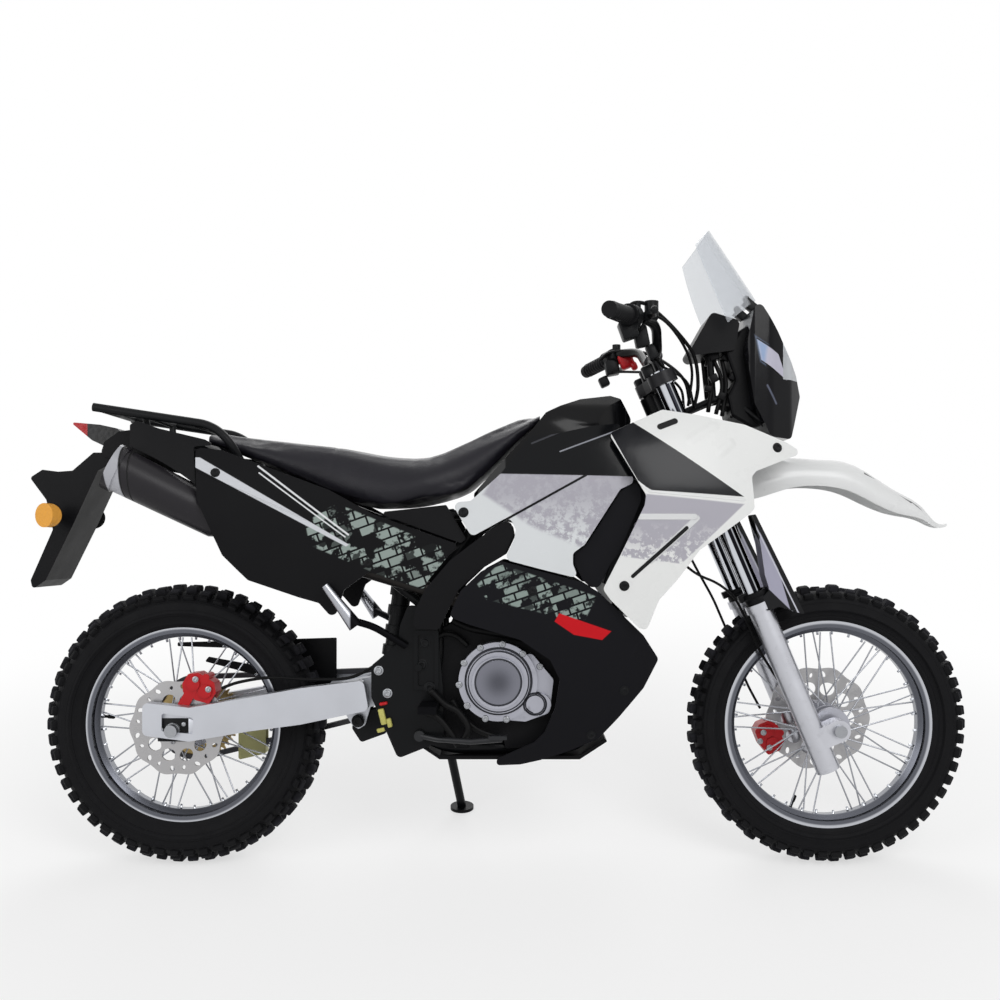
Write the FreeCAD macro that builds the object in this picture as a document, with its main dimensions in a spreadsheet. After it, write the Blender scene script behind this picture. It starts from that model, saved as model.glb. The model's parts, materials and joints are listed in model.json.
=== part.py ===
"""Dual sport motorcycle on its side stand.

Lengths are millimetres. The machine is laid out upright: X forward, Y to its left, Z up,
with the origin on the floor midway between the wheels. Every sub-part is then leaned to the
left by one placement, so that it stands on both tyres and the side stand's foot, with the
origin moved to the middle of its footprint.
"""
import FreeCAD, Part
import math
import os

import Sketcher
from FreeCAD import Placement, Rotation, Vector

# Driving dimensions, kept in the sheet under the same names
SIZES = {
    "wheelbase": 1495.0,
    "layout_length": 1495.0,
    "body_rise": 1149.0,
    "lean_angle": 11.3,
    "footprint_ahead": -6.65,
    "footprint_left": 237.6,
    "tyre_radius": 324.0,
    "crown_radius": 70.0,
    "running_fit": 0.1,
    "seating_gap": 0.3,
    "clear_gap": 5.0,
    "cut_over": 10.0,
    # Wheels
    "front_tyre_half": 52.0,
    "rear_tyre_half": 58.5,
    "tyre_wall": 13.0,
    "lug_depth": 13.0,
    "lug_length": 34.0,
    "crown_lug_half": 10.2,
    "outer_lug_half": 9.0,
    "tyre_facets": 19,
    "front_rim_radius": 240.5,
    "rear_rim_radius": 228.0,
    "front_rim_half": 34.0,
    "rear_rim_half": 38.0,
    "rim_flange": 4.0,
    "rim_shelf_depth": 11.0,
    "rim_well_depth": 22.0,
    "rim_wall": 4.5,
    "rim_well_half": 10.0,
    "spoke_radius": 1.8,
    "spoke_rim_offset": 7.0,
    "axle_radius": 9.0,
    "front_hub_half": 60.0,
    "front_flange_radius": 44.0,
    "front_flange_offset": 26.0,
    "hub_flange_wall": 5.0,
    "front_barrel_radius": 22.0,
    "front_boss_radius": 42.0,
    "front_boss_wall": 12.0,
    "rear_flange_radius": 52.0,
    "rear_flange_offset": 28.0,
    "rear_barrel_radius": 27.0,
    "rear_hub_half": 75.0,
    "sprocket_boss_radius": 64.0,
    "sprocket_boss_inset": 38.0,
    "disc_boss_radius": 40.0,
    "front_disc_radius": 125.0,
    "rear_disc_radius": 110.0,
    "disc_wall": 4.0,
    "disc_bore_radius": 26.0,
    "disc_band": 30.0,
    "disc_wave": 24.0,
    "disc_wave_depth": 5.0,
    "sprocket_wall": 6.0,
    "sprocket_bore_radius": 32.0,
    "chain_pitch": 12.7,
    "sprocket_teeth": 48,
    "drive_teeth": 15,
    "tooth_rise": 4.6,
    "tooth_gap": 4.2,
    "chain_height": 12.0,
    "chain_width": 16.0,
    # Fork and steering
    "rake": 23.0,
    "axle_lead": 54.0,
    "fork_offset": 26.0,
    "fork_half_spacing": 105.0,
    "fork_tube_radius": 20.5,
    "lower_leg_radius": 27.0,
    "lower_leg_foot": 76.0,
    "lower_leg_top": 334.0,
    "leg_collar": 4.0,
    "leg_collar_height": 18.0,
    "lower_clamp_base": 690.0,
    "lower_clamp_height": 36.0,
    "upper_clamp_base": 868.0,
    "upper_clamp_height": 28.0,
    "clamp_wall": 12.0,
    "stem_radius": 15.0,
    "head_tube_wall": 9.0,
    "riser_spacing": 48.0,
    "riser_radius": 15.0,
    "bar_height": 940.0,
    "bar_forward": 40.0,
    "bar_radius": 11.0,
    "bar_half_length": 400.0,
    "bar_sweep": 131.0,
    "bar_lift": 36.0,
    "bar_crest": 55.0,
    "grip_wall": 5.5,
    "grip_length": 118.0,
    "axle_lug_radius": 24.0,
    "guard_wall": 3.0,
    "guard_half": 29.0,
    # Frame
    "beam_radius": 16.0,
    "beam_half_spacing": 100.0,
    "down_tube_radius": 16.0,
    "cradle_radius": 14.0,
    "cradle_half_spacing": 62.0,
    "rail_radius": 11.0,
    "rail_half_spacing": 95.0,
    "plate_inner": 112.0,
    "plate_wall": 10.0,
    "tube_bend": 90.0,
    "pivot_bolt_radius": 8.0,
    "pivot_tube_radius": 22.0,
    "arm_inner": 92.0,
    "arm_outer": 122.0,
    "arm_front_inner": 30.0,
    "arm_front_outer": 60.0,
    # Engine
    "case_half": 62.0,
    "clutch_radius": 88.0,
    "clutch_reach": 73.0,
    "clutch_step": 12.0,
    "clutch_cap_radius": 57.0,
    "pump_radius": 24.0,
    "generator_radius": 80.0,
    "generator_reach": 62.0,
    "fin_wall": 3.0,
    "fin_pitch": 10.0,
    "fin_half_length": 60.0,
    "fin_half_width": 62.0,
    "barrel_half_length": 45.0,
    "barrel_half_width": 48.0,
    "barrel_height": 100.0,
    "head_height": 70.0,
    "cylinder_tilt": 18.0,
    "exhaust_radius": 17.0,
    "silencer_radius": 50.0,
    "silencer_length": 310.0,
    "silencer_front_out": 98.0,
    "silencer_rear_out": 150.0,
    "silencer_cone": 55.0,
    "silencer_band": 22.0,
    # Bodywork
    "panel_wall": 5.0,
    "panel_half": 200.0,
    "panel_corner": 12.0,
    "boss_radius": 7.0,
    "tank_half": 124.0,
    "seat_half": 138.0,
    "tail_half": 76.0,
    "hanger_half": 72.0,
    "fender_half": 64.0,
    "fender_wall": 4.0,
    "inner_fender_half": 74.0,
    "nose_half": 118.0,
    "dash_half": 70.0,
    "screen_half": 128.0,
    "screen_wall": 4.0,
    "rack_radius": 9.5,
    "rack_half_spacing": 122.0,
    "radiator_width": 106.0,
    "radiator_height": 240.0,
    "radiator_wall": 46.0,
    "radiator_tilt": 15.0,
    "radiator_inner": 62.0,
    "core_slot": 6.0,
    "core_slot_pitch": 15.0,
    "stay_radius": 8.0,
    "skid_half": 98.0,
    "indicator_radius": 27.0,
    "indicator_depth": 26.0,
    "indicator_spread": 140.0,
    "indicator_turn": 25.0,
    # Controls, pegs and stand
    "peg_length": 98.0,
    "peg_half_width": 20.0,
    "peg_height": 16.0,
    "lever_radius": 5.5,
    "caliper_length": 76.0,
    "caliper_height": 56.0,
    "caliper_half_width": 23.0,
    "caliper_inset": 9.0,
    "piston_radius": 15.0,
    "piston_step": 4.0,
    "stand_radius": 11.0,
    "stand_reach": 280.0,
    "stand_foot_radius": 30.0,
    "stand_foot_wall": 8.0,
    "stand_eye_radius": 17.0,
    "stand_eye_width": 14.0,
    "stand_pin_radius": 6.0,
    "stand_pivot_out": 142.0,
    "cable_radius": 3.0,
    "mirror_hole_radius": 4.25,
    "mirror_hole_depth": 14.0,
    "mirror_boss_height": 28.0,
    "plate_hole_radius": 3.2,
    "plate_hole_depth": 20.0,
    "plate_hole_spread": 40.0,
}

doc = FreeCAD.newDocument("Motorcycle")
sheet = doc.addObject("Spreadsheet::Sheet", "Sizes")
for row, (alias, value) in enumerate(SIZES.items(), start=1):
    sheet.set(f"A{row}", alias)
    sheet.set(f"B{row}", str(value))
    sheet.setAlias(f"B{row}", alias)
doc.recompute()


class Sizes:
    """The sheet's values by name."""

    def __getattr__(self, alias):
        return float(sheet.get(alias))


s = Sizes()
nodes = []

# Directions and frames
ACROSS = Vector(0, 1, 0)
FORWARD = Vector(1, 0, 0)
UP = Vector(0, 0, 1)
ORIGIN = Vector(0, 0, 0)
lean = math.radians(s.lean_angle)
lift = s.crown_radius * (1 - math.cos(lean))
LEAN = Placement(Vector(-s.footprint_ahead, -s.footprint_left, lift), Rotation(FORWARD, -s.lean_angle))
rear_axle = Vector(-s.wheelbase / 2, 0, s.tyre_radius)
front_axle = Vector(s.wheelbase / 2, 0, s.tyre_radius)
rake = math.radians(s.rake)
fork_up = Vector(-math.sin(rake), 0, math.cos(rake))
fork_ahead = Vector(math.cos(rake), 0, math.sin(rake))
steering_base = front_axle - fork_ahead * (s.axle_lead + s.fork_offset)
STEERING = Placement(steering_base, Rotation(ACROSS, -s.rake))
WHEEL_TURN = Rotation(FORWARD, -90)


# Shared helpers

def ahead_of_middle(share):
    """Distance ahead of the middle: what lies near an axle keeps its place beside that axle."""
    middle_share = 0.28
    reach = max(-1.0, min(1.0, share / middle_share))
    return share * s.layout_length + reach * (s.wheelbase - s.layout_length) / 2


def at(share, across=0.0):
    """Point of the side view: shares of the layout's length and of the rise above the axles."""
    return Vector(ahead_of_middle(share[0]), across, s.tyre_radius + share[1] * s.body_rise)


def steer(ahead, across, along):
    """Point of the steering's frame, given in the upright machine."""
    return STEERING.multVec(Vector(ahead, across, along))


def rounded(points, radius, closed=True):
    """Wire of straight runs joined by tangent arcs, but for corners that hardly turn."""
    run_share = 0.48
    least_turn = math.radians(3)
    edges = []
    count = len(points)
    corners = range(count) if closed else range(1, count - 1)
    first = None if closed else points[0]
    last = first
    for index in corners:
        before = points[index - 1]
        point = points[index]
        after = points[(index + 1) % count]
        into = point - before
        out = after - point
        turn = into.getAngle(out)
        if turn < least_turn:
            if first is None:
                first = point
            else:
                edges.append(Part.LineSegment(last, point).toShape())
            last = point
            continue
        reach = min(radius * math.tan(turn / 2), run_share * min(into.Length, out.Length))
        into.normalize()
        out.normalize()
        start = point - into * reach
        end = point + out * reach
        if first is None:
            first = start
        else:
            edges.append(Part.LineSegment(last, start).toShape())
        inward = (out - into).normalize()
        bow = reach * math.tan(turn / 4) * math.cos(turn / 2)
        middle = (start + end) / 2 - inward * bow
        edges.append(Part.Arc(start, middle, end).toShape())
        last = end
    edges.append(Part.LineSegment(last, first if closed else points[-1]).toShape())
    return Part.Wire(edges)


def tube(points, radius, bend=None):
    """Round bar bent along the points."""
    path = rounded(points, s.tube_bend if bend is None else bend, closed=False)
    start = points[0]
    ring = Part.Wire([Part.Circle(start, points[1] - start, radius).toShape()])
    return path.makePipeShell([ring], True, False)


def rod(start, end, radius):
    """Straight round bar between two points."""
    return Part.makeCylinder(radius, (end - start).Length, start, end - start)


def eased(table, count):
    """Rows of a table of shares, evenly spaced along its first column by cubic steps."""
    rows = []
    slopes = []
    last = len(table) - 1
    for index in range(len(table)):
        before = table[max(index - 1, 0)]
        after = table[min(index + 1, last)]
        slopes.append([(b - a) / (after[0] - before[0]) for a, b in zip(before, after)])
    for step in range(count + 1):
        x = table[0][0] + (table[last][0] - table[0][0]) * step / count
        index = min(max(sum(1 for row in table if row[0] <= x) - 1, 0), last - 1)
        low = table[index]
        high = table[index + 1]
        width = high[0] - low[0]
        u = (x - low[0]) / width
        row = []
        for a, b, p, q in zip(low, high, slopes[index], slopes[index + 1]):
            row.append(a * (2 * u ** 3 - 3 * u ** 2 + 1) + b * (3 * u ** 2 - 2 * u ** 3)
                       + p * width * (u ** 3 - 2 * u ** 2 + u) + q * width * (u ** 3 - u ** 2))
        rows.append(row)
    return rows


def side_prism(shares, near, far, radius):
    """Side-view outline between two distances across."""
    face = Part.Face(rounded([at(share, near) for share in shares], radius))
    return face.extrude(ACROSS * (far - near))


def plan_prism(shares, half, low, high, radius):
    """Plan outline, mirrored: shares of the layout's length forward and of a half width across."""
    right = [Vector(ahead_of_middle(x), -y * half, low) for x, y in shares]
    left = [Vector(point.x, -point.y, low) for point in reversed(right)]
    return Part.Face(rounded(right + left, radius)).extrude(UP * (high - low))


def front_prism(shares, half, back, ahead, radius):
    """Front-view outline, mirrored: shares of a half width across and of the body's rise."""
    right = [Vector(back, -y * half, s.tyre_radius + z * s.body_rise) for y, z in shares]
    left = [Vector(back, -point.y, point.z) for point in reversed(right)]
    return Part.Face(rounded(right + left, radius)).extrude(FORWARD * (ahead - back))


def mirrored(shape):
    """The same piece on the machine's left side."""
    return shape.mirror(ORIGIN, ACROSS)


def fused(shapes):
    """One solid from overlapping pieces."""
    return shapes[0].multiFuse(shapes[1:]).removeSplitter()


def skin(shares, depth_shares, radius, bosses=()):
    """Right-hand panel: an outline cut from a slab that follows a grid of depths.

    Bosses are pairs of a place in the side view and the distance across of what carries it.
    """
    points = [at(share) for share in shares]
    low_x = min(point.x for point in points) - s.cut_over
    high_x = max(point.x for point in points) + s.cut_over
    low_z = min(point.z for point in points) - s.cut_over
    high_z = max(point.z for point in points) + s.cut_over
    grid = []
    for row, depths in enumerate(depth_shares):
        z = low_z + (high_z - low_z) * row / (len(depth_shares) - 1)
        line = []
        for column, depth in enumerate(depths):
            x = low_x + (high_x - low_x) * column / (len(depths) - 1)
            line.append(Vector(x, -depth * s.panel_half, z))
        grid.append(line)
    surface = Part.BSplineSurface()
    surface.interpolate(grid)
    outer = surface.toShape()
    slab = outer.extrude(ACROSS * s.panel_wall)
    prism = Part.Face(rounded(points, radius)).extrude(-ACROSS * 2 * s.panel_half)
    panel = prism.common(slab).Solids[0]
    for share, carrier in bosses:
        place = at(share)
        probe = Part.makeLine(place, place - ACROSS * 2 * s.panel_half)
        depth = probe.distToShape(outer)[1][0][0].y
        start = at(share, -carrier - s.seating_gap)
        end = at(share, depth + s.panel_wall / 2)
        panel = panel.fuse(rod(start, end, s.boss_radius))
    return panel.Solids[0]


def add(name, shape, placement=LEAN):
    """Sub-part with a shape worked out from the sheet, leaned into place."""
    feature = doc.addObject("Part::Feature", name)
    feature.Shape = shape
    feature.Placement = placement.multiply(feature.Placement)
    feature.Label = name
    nodes.append(feature)
    return feature


def keep(name, feature, placement):
    """Sub-part that is already an object of the document."""
    feature.Placement = placement
    feature.Label = name
    nodes.append(feature)
    return feature


def wheel_frame(axle, across=0.0):
    """Frame at a wheel: its Z is the axle's direction."""
    return LEAN.multiply(Placement(axle + ACROSS * across, WHEEL_TURN))


def plane(body, role):
    """One of a body's own origin planes."""
    return next(item for item in body.Origin.OriginFeatures if item.Role == role)


def new_sketch(body, name, role):
    """Sketch on an origin plane of its body."""
    sketch = body.newObject("Sketcher::SketchObject", name)
    sketch.AttachmentSupport = [(plane(body, role), "")]
    sketch.MapMode = "FlatFace"
    return sketch


def bound_polygon(sketch, points):
    """Closed polygon whose corners follow expressions of the sheet."""
    values = [(float(sheet.evalExpression(x)), float(sheet.evalExpression(y))) for x, y in points]
    count = len(points)
    for index in range(count):
        start = Vector(*values[index], 0)
        end = Vector(*values[(index + 1) % count], 0)
        sketch.addGeometry(Part.LineSegment(start, end))
    for index in range(count):
        after = (index + 1) % count
        sketch.addConstraint(Sketcher.Constraint("Coincident", index, 2, after, 1))
    for index, expressions in enumerate(points):
        for kind, text, value in zip(("DistanceX", "DistanceY"), expressions, values[index]):
            made = sketch.addConstraint(Sketcher.Constraint(kind, -1, 1, index, 1, value))
            sketch.setExpression(f"Constraints[{made}]", text)


def bound_circle(sketch, radius, x="0", y="0"):
    """Circle whose radius and centre follow expressions of the sheet."""
    centre = (float(sheet.evalExpression(x)), float(sheet.evalExpression(y)))
    size = float(sheet.evalExpression(radius))
    index = sketch.addGeometry(Part.Circle(Vector(*centre, 0), UP, size))
    made = sketch.addConstraint(Sketcher.Constraint("Radius", index, size))
    sketch.setExpression(f"Constraints[{made}]", radius)
    for kind, text, value in (("DistanceX", x, centre[0]), ("DistanceY", y, centre[1])):
        made = sketch.addConstraint(Sketcher.Constraint(kind, -1, 1, index, 3, value))
        sketch.setExpression(f"Constraints[{made}]", text)


def turned(name, points, placement):
    """Body turned about its Z axis from (radius, across) corners."""
    body = doc.addObject("PartDesign::Body", name)
    sketch = new_sketch(body, name + "_profile", "XZ_Plane")
    bound_polygon(sketch, points)
    turn = body.newObject("PartDesign::Revolution", name + "_turn")
    turn.Profile = sketch
    turn.ReferenceAxis = (sketch, ["V_Axis"])
    turn.Angle = 360
    body.Tip = turn
    return keep(name, body, placement)


def pierced_disc(name, radius, wall, bore, window, ring, count, bite, bite_ring, bites, placement):
    """Flat plate with a bore, a ring of round windows and a ring of bites out of its edge."""
    body = doc.addObject("PartDesign::Body", name)
    outline = new_sketch(body, name + "_outline", "XY_Plane")
    bound_circle(outline, radius)
    bound_circle(outline, bore)
    pad = body.newObject("PartDesign::Pad", name + "_pad")
    pad.Profile = outline
    pad.setExpression("Length", wall)
    doc.recompute()
    for part, size, place, number in (("window", window, ring, count), ("bite", bite, bite_ring, bites)):
        hole = new_sketch(body, f"{name}_{part}", "XY_Plane")
        bound_circle(hole, size, place)
        pocket = body.newObject("PartDesign::Pocket", f"{name}_{part}_pocket")
        pocket.Profile = hole
        pocket.Type = "ThroughAll"
        pocket.Reversed = True
        doc.recompute()
        pattern = body.newObject("PartDesign::PolarPattern", f"{name}_{part}_pattern")
        pattern.Originals = [pocket]
        pattern.Axis = (hole, ["N_Axis"])
        pattern.Angle = 360
        pattern.Occurrences = number
        body.Tip = pattern
        doc.recompute()
    return keep(name, body, placement)


# Wheels

def tread_lug(axle, turn, slant, half, length):
    """One tapered block of tread, its top tangent to the crown's round at a slant."""
    top_share = 0.82
    root = s.lug_depth * 1.4
    block = Part.makeWedge(-half, 0, -length / 2, -length / 2 * top_share, -half * top_share,
                           half, root, length / 2, length / 2 * top_share, half * top_share)
    block.Placement = Placement(Vector(0, 0, s.crown_radius - root), Rotation(UP, 90)).multiply(
        Placement(ORIGIN, Rotation(FORWARD, 90)))
    block = block.transformed(Placement(ORIGIN, Rotation(FORWARD, -slant)).toMatrix())
    block = block.transformed(Placement(UP * (s.tyre_radius - s.crown_radius), Rotation()).toMatrix())
    return block.transformed(Placement(axle, Rotation(ACROSS, turn)).toMatrix())


def tyre(name, axle, half, rim_radius, rim_half):
    """Knobby tyre in flat facets: hollow carcass with crown, middle and shoulder blocks."""
    facets = int(s.tyre_facets)
    bead = rim_half - s.rim_flange - s.seating_gap
    seat = rim_radius - s.rim_shelf_depth + s.seating_gap
    crown_turn = 2 * s.lean_angle
    outer_slant = math.degrees(math.asin((half - s.outer_lug_half * 0.7) / s.crown_radius))
    edge_turn = outer_slant + 10
    low_round = s.crown_radius - s.lug_depth
    hub = s.tyre_radius - s.crown_radius

    def crown(turn):
        return low_round * math.sin(math.radians(turn)), hub + low_round * math.cos(math.radians(turn))

    bulge = half * 0.93
    bulge_r = rim_radius + (s.tyre_radius - rim_radius) * 0.30
    half_section = [crown(0), crown(crown_turn), crown(edge_turn), (bulge, bulge_r),
                    (bead, rim_radius + s.seating_gap), (bead, seat), (bead - s.tyre_wall, seat),
                    (bulge - s.tyre_wall, bulge_r)]
    inner_top = (0.0, crown(0)[1] - s.tyre_wall)
    section = half_section + [inner_top] + [(-a, r) for a, r in reversed(half_section[1:])]
    step = 360.0 / facets
    spread = 1 / math.cos(math.radians(step / 2))
    rings = []
    for index in range(facets):
        turn = math.radians(-90 + step * (index + 0.25))
        rings.append([axle + Vector(r * spread * math.cos(turn), a, r * spread * math.sin(turn)) for a, r in section])
    faces = []
    count = len(section)
    for index, ring in enumerate(rings):
        after = rings[(index + 1) % facets]
        for corner in range(count):
            following = (corner + 1) % count
            points = [ring[corner], ring[following], after[following], after[corner]]
            faces.append(Part.Face(Part.makePolygon(points + points[:1])))
    carcass = Part.Solid(Part.makeShell(faces))
    if carcass.Volume < 0:
        carcass.reverse()
    blocks = []
    for row in range(2 * facets):
        turn = 180.0 + 180.0 / facets * row
        crown_side = -1 if row % 2 else 1
        blocks.append(tread_lug(axle, turn, crown_side * s.lean_angle, s.crown_lug_half, s.lug_length))
        for side in (1, -1):
            blocks.append(tread_lug(axle, turn, side * outer_slant, s.outer_lug_half, s.lug_length))
    add(name, fused([carcass] + blocks))


def rim(name, axle, radius, half):
    """Drop-centre rim."""
    edge = f"Sizes.{half}"
    lip = f"Sizes.{half} - Sizes.rim_flange"
    top = f"Sizes.{radius}"
    shelf = f"Sizes.{radius} - Sizes.rim_shelf_depth"
    well = f"Sizes.{radius} - Sizes.rim_well_depth"
    below_shelf = f"{shelf} - Sizes.rim_wall"
    below_well = f"{well} - Sizes.rim_wall"
    inner = "Sizes.rim_well_half"
    slope = "Sizes.rim_well_half + Sizes.rim_wall"
    knee = "Sizes.rim_well_half + 2 * Sizes.rim_wall"
    half_section = [
        (below_well, inner), (below_shelf, knee), (below_shelf, edge), (top, edge),
        (top, lip), (shelf, lip), (shelf, slope), (well, inner),
    ]
    other_half = [(r, f"-({a})") for r, a in reversed(half_section)]
    turned(name, half_section + other_half, wheel_frame(axle))


def spokes(name, axle, flange_radius, flange_offset, rim_radius, count=36):
    """Laced wire spokes, each from a hub flange to the rim's well."""
    lace_turn = 54.0
    end_gap = s.spoke_radius
    start_r = flange_radius + end_gap
    end_r = rim_radius - s.rim_well_depth - s.rim_wall - end_gap
    wires = []
    for index in range(count):
        side = 1 if index % 2 else -1
        trailing = (index // 2) % 2
        hub_angle = math.radians(360.0 * index / count)
        rim_angle = hub_angle + math.radians(lace_turn if trailing else -lace_turn) / 2
        spread = s.hub_flange_wall if trailing else 0.0
        hub_across = side * (flange_offset + spread)
        rim_across = side * s.spoke_rim_offset * (1 if trailing else 1 / 2)
        start = axle + Vector(start_r * math.cos(hub_angle), hub_across, start_r * math.sin(hub_angle))
        end = axle + Vector(end_r * math.cos(rim_angle), rim_across, end_r * math.sin(rim_angle))
        wires.append(rod(start, end, s.spoke_radius))
    add(name, Part.makeCompound(wires))


def front_hub():
    """Front hub: right cover, two flanges and the left face that carries the disc."""
    bore = "Sizes.axle_radius + Sizes.running_fit"
    barrel = "Sizes.front_barrel_radius"
    flange = "Sizes.front_flange_radius"
    boss = "Sizes.front_boss_radius"
    near = "Sizes.front_flange_offset"
    far = "Sizes.front_flange_offset + Sizes.hub_flange_wall"
    face = "Sizes.front_hub_half"
    step = "Sizes.front_hub_half - Sizes.front_boss_wall"
    turned("front_hub", [
        (bore, f"-({face})"), (boss, f"-({face})"), (boss, f"-({step})"), (barrel, f"-({step})"),
        (barrel, f"-({far})"), (flange, f"-({far})"), (flange, f"-({near})"),
        (barrel, f"-({near})"), (barrel, near), (flange, near), (flange, far), (barrel, far),
        (barrel, step), (boss, step), (boss, face), (bore, face),
    ], wheel_frame(front_axle))


def rear_hub():
    """Rear hub: disc face on the right, sprocket carrier on the left."""
    bore = "Sizes.axle_radius + Sizes.running_fit"
    barrel = "Sizes.rear_barrel_radius"
    flange = "Sizes.rear_flange_radius"
    near = "Sizes.rear_flange_offset"
    far = "Sizes.rear_flange_offset + Sizes.hub_flange_wall"
    face = "Sizes.rear_hub_half"
    disc_boss = "Sizes.disc_boss_radius"
    disc_step = "Sizes.rear_hub_half - Sizes.front_boss_wall"
    carrier = "Sizes.sprocket_boss_radius"
    turned("rear_hub", [
        (bore, f"-({face})"), (disc_boss, f"-({face})"), (disc_boss, f"-({disc_step})"),
        (barrel, f"-({disc_step})"), (barrel, f"-({far})"), (flange, f"-({far})"),
        (flange, f"-({near})"), (barrel, f"-({near})"), (barrel, near), (flange, near),
        (flange, far), (barrel, far), (barrel, "Sizes.sprocket_boss_inset"),
        (carrier, "Sizes.sprocket_boss_inset"), (carrier, face), (bore, face),
    ], wheel_frame(rear_axle))


def wheels():
    """Both wheels, each about its own axle."""
    tyre("front_tyre", front_axle, s.front_tyre_half, s.front_rim_radius, s.front_rim_half)
    tyre("rear_tyre", rear_axle, s.rear_tyre_half, s.rear_rim_radius, s.rear_rim_half)
    rim("front_rim", front_axle, "front_rim_radius", "front_rim_half")
    rim("rear_rim", rear_axle, "rear_rim_radius", "rear_rim_half")
    front_hub()
    rear_hub()
    spokes("front_spokes", front_axle, s.front_flange_radius, s.front_flange_offset, s.front_rim_radius)
    spokes("rear_spokes", rear_axle, s.rear_flange_radius, s.rear_flange_offset, s.rear_rim_radius)
    window_ring = "(Sizes.{0} - Sizes.disc_band + Sizes.disc_bore_radius) / 2"
    window = "(Sizes.{0} - Sizes.disc_band - Sizes.disc_bore_radius) / 2 - Sizes.disc_wall"
    for name, radius, windows, axle, across in (
            ("front_disc", "front_disc_radius", 5, front_axle, s.front_hub_half),
            ("rear_disc", "rear_disc_radius", 6, rear_axle, -s.rear_hub_half - s.disc_wall)):
        pierced_disc(name, f"Sizes.{radius}", "Sizes.disc_wall", "Sizes.disc_bore_radius",
                     window.format(radius), window_ring.format(radius), windows, "Sizes.disc_wave",
                     f"Sizes.{radius} + Sizes.disc_wave - Sizes.disc_wave_depth", 2 * windows,
                     wheel_frame(axle, across))


wheels()


def sprocket():
    """Rear sprocket with tapered teeth and six round windows."""
    base = rear_axle + ACROSS * s.rear_hub_half
    pitch_radius = s.chain_pitch / (2 * math.sin(math.pi / s.sprocket_teeth))
    root = pitch_radius - s.tooth_gap
    tip = pitch_radius + s.tooth_rise
    tooth_shares = [(root, 0.18), (tip, 0.40), (tip, 0.60), (root, 0.82)]
    teeth = int(s.sprocket_teeth)
    points = []
    for tooth in range(teeth):
        for radius, share in tooth_shares:
            turn = 2 * math.pi * (tooth + share) / teeth
            points.append(base + Vector(radius * math.cos(turn), 0, radius * math.sin(turn)))
    plate = Part.Face(Part.makePolygon(points + points[:1])).extrude(ACROSS * s.sprocket_wall)
    over = ACROSS * s.cut_over
    plate = plate.cut(rod(base - over, base + ACROSS * s.sprocket_wall + over, s.sprocket_bore_radius))
    window = (root - s.sprocket_bore_radius) / 4
    ring = (root + s.sprocket_bore_radius) / 2
    window_count = 6
    for index in range(window_count):
        turn = 2 * math.pi * index / window_count
        centre = base + Vector(ring * math.cos(turn), 0, ring * math.sin(turn))
        plate = plate.cut(rod(centre - over, centre + ACROSS * s.sprocket_wall + over, window))
    add("rear_sprocket", plate.Solids[0])


sprocket()


# Axles

def axle_bar(name, axle, half, gap_from, gap_to):
    """Axle with a spacer on each side of the hub."""
    over = s.clear_gap * 2
    spacer_radius = s.axle_radius + s.clear_gap
    bar = rod(axle - ACROSS * (half + over), axle + ACROSS * (half + over), s.axle_radius)
    pieces = [bar]
    for side in (1, -1):
        start = axle + ACROSS * side * (gap_from + s.seating_gap)
        end = axle + ACROSS * side * (gap_to - s.seating_gap)
        pieces.append(rod(start, end, spacer_radius))
        nut = axle + ACROSS * side * (half + s.seating_gap)
        pieces.append(rod(nut, nut + ACROSS * side * over, spacer_radius))
    add(name, fused(pieces))


axle_bar("rear_axle", rear_axle, s.arm_outer, s.rear_hub_half, s.arm_inner)
axle_bar("front_axle", front_axle, s.fork_half_spacing + s.axle_lug_radius,
         s.front_hub_half, s.fork_half_spacing - s.axle_lug_radius)


# Steering

def fork_lowers():
    """Silver lower legs with the axle's lugs ahead of them."""
    legs = []
    lug_ahead = s.fork_offset + s.axle_lead
    for side in (1, -1):
        across = side * s.fork_half_spacing
        leg = rod(steer(s.fork_offset, across, -s.lower_leg_foot),
                  steer(s.fork_offset, across, s.lower_leg_top), s.lower_leg_radius)
        collar = rod(steer(s.fork_offset, across, s.lower_leg_top - s.leg_collar_height),
                     steer(s.fork_offset, across, s.lower_leg_top),
                     s.lower_leg_radius + s.leg_collar)
        lug = rod(steer(lug_ahead, across - s.axle_lug_radius, 0),
                  steer(lug_ahead, across + s.axle_lug_radius, 0), s.axle_lug_radius)
        web = Part.makeBox(s.axle_lead, 2 * s.axle_lug_radius, 2 * s.axle_lug_radius)
        web.Placement = STEERING.multiply(Placement(
            Vector(s.fork_offset, across - s.axle_lug_radius, -s.axle_lug_radius), Rotation()))
        hole = rod(front_axle - ACROSS * 2 * s.fork_half_spacing,
                   front_axle + ACROSS * 2 * s.fork_half_spacing,
                   s.axle_radius + s.running_fit)
        legs.append(fused([leg, collar, lug, web]).cut(hole).Solids[0])
    add("fork_lowers", Part.makeCompound(legs))


def fork_tubes():
    """Chromed upper tubes."""
    top = s.upper_clamp_base + s.upper_clamp_height
    tubes = []
    for side in (1, -1):
        name = "fork_tube_left" if side > 0 else "fork_tube_right"
        tube_part = doc.addObject("Part::Cylinder", name)
        tube_part.setExpression("Radius", "Sizes.fork_tube_radius")
        tube_part.setExpression(
            "Height", "Sizes.upper_clamp_base + Sizes.upper_clamp_height"
            " + Sizes.leg_collar - Sizes.lower_leg_top - Sizes.seating_gap")
        start = steer(s.fork_offset, side * s.fork_half_spacing, s.lower_leg_top + s.seating_gap)
        tube_part.Placement = Placement(start, STEERING.Rotation)
        tubes.append(tube_part)
    pair = doc.addObject("Part::Compound", "fork_tubes")
    pair.Links = tubes
    keep("fork_tubes", pair, LEAN)
    return top


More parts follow.
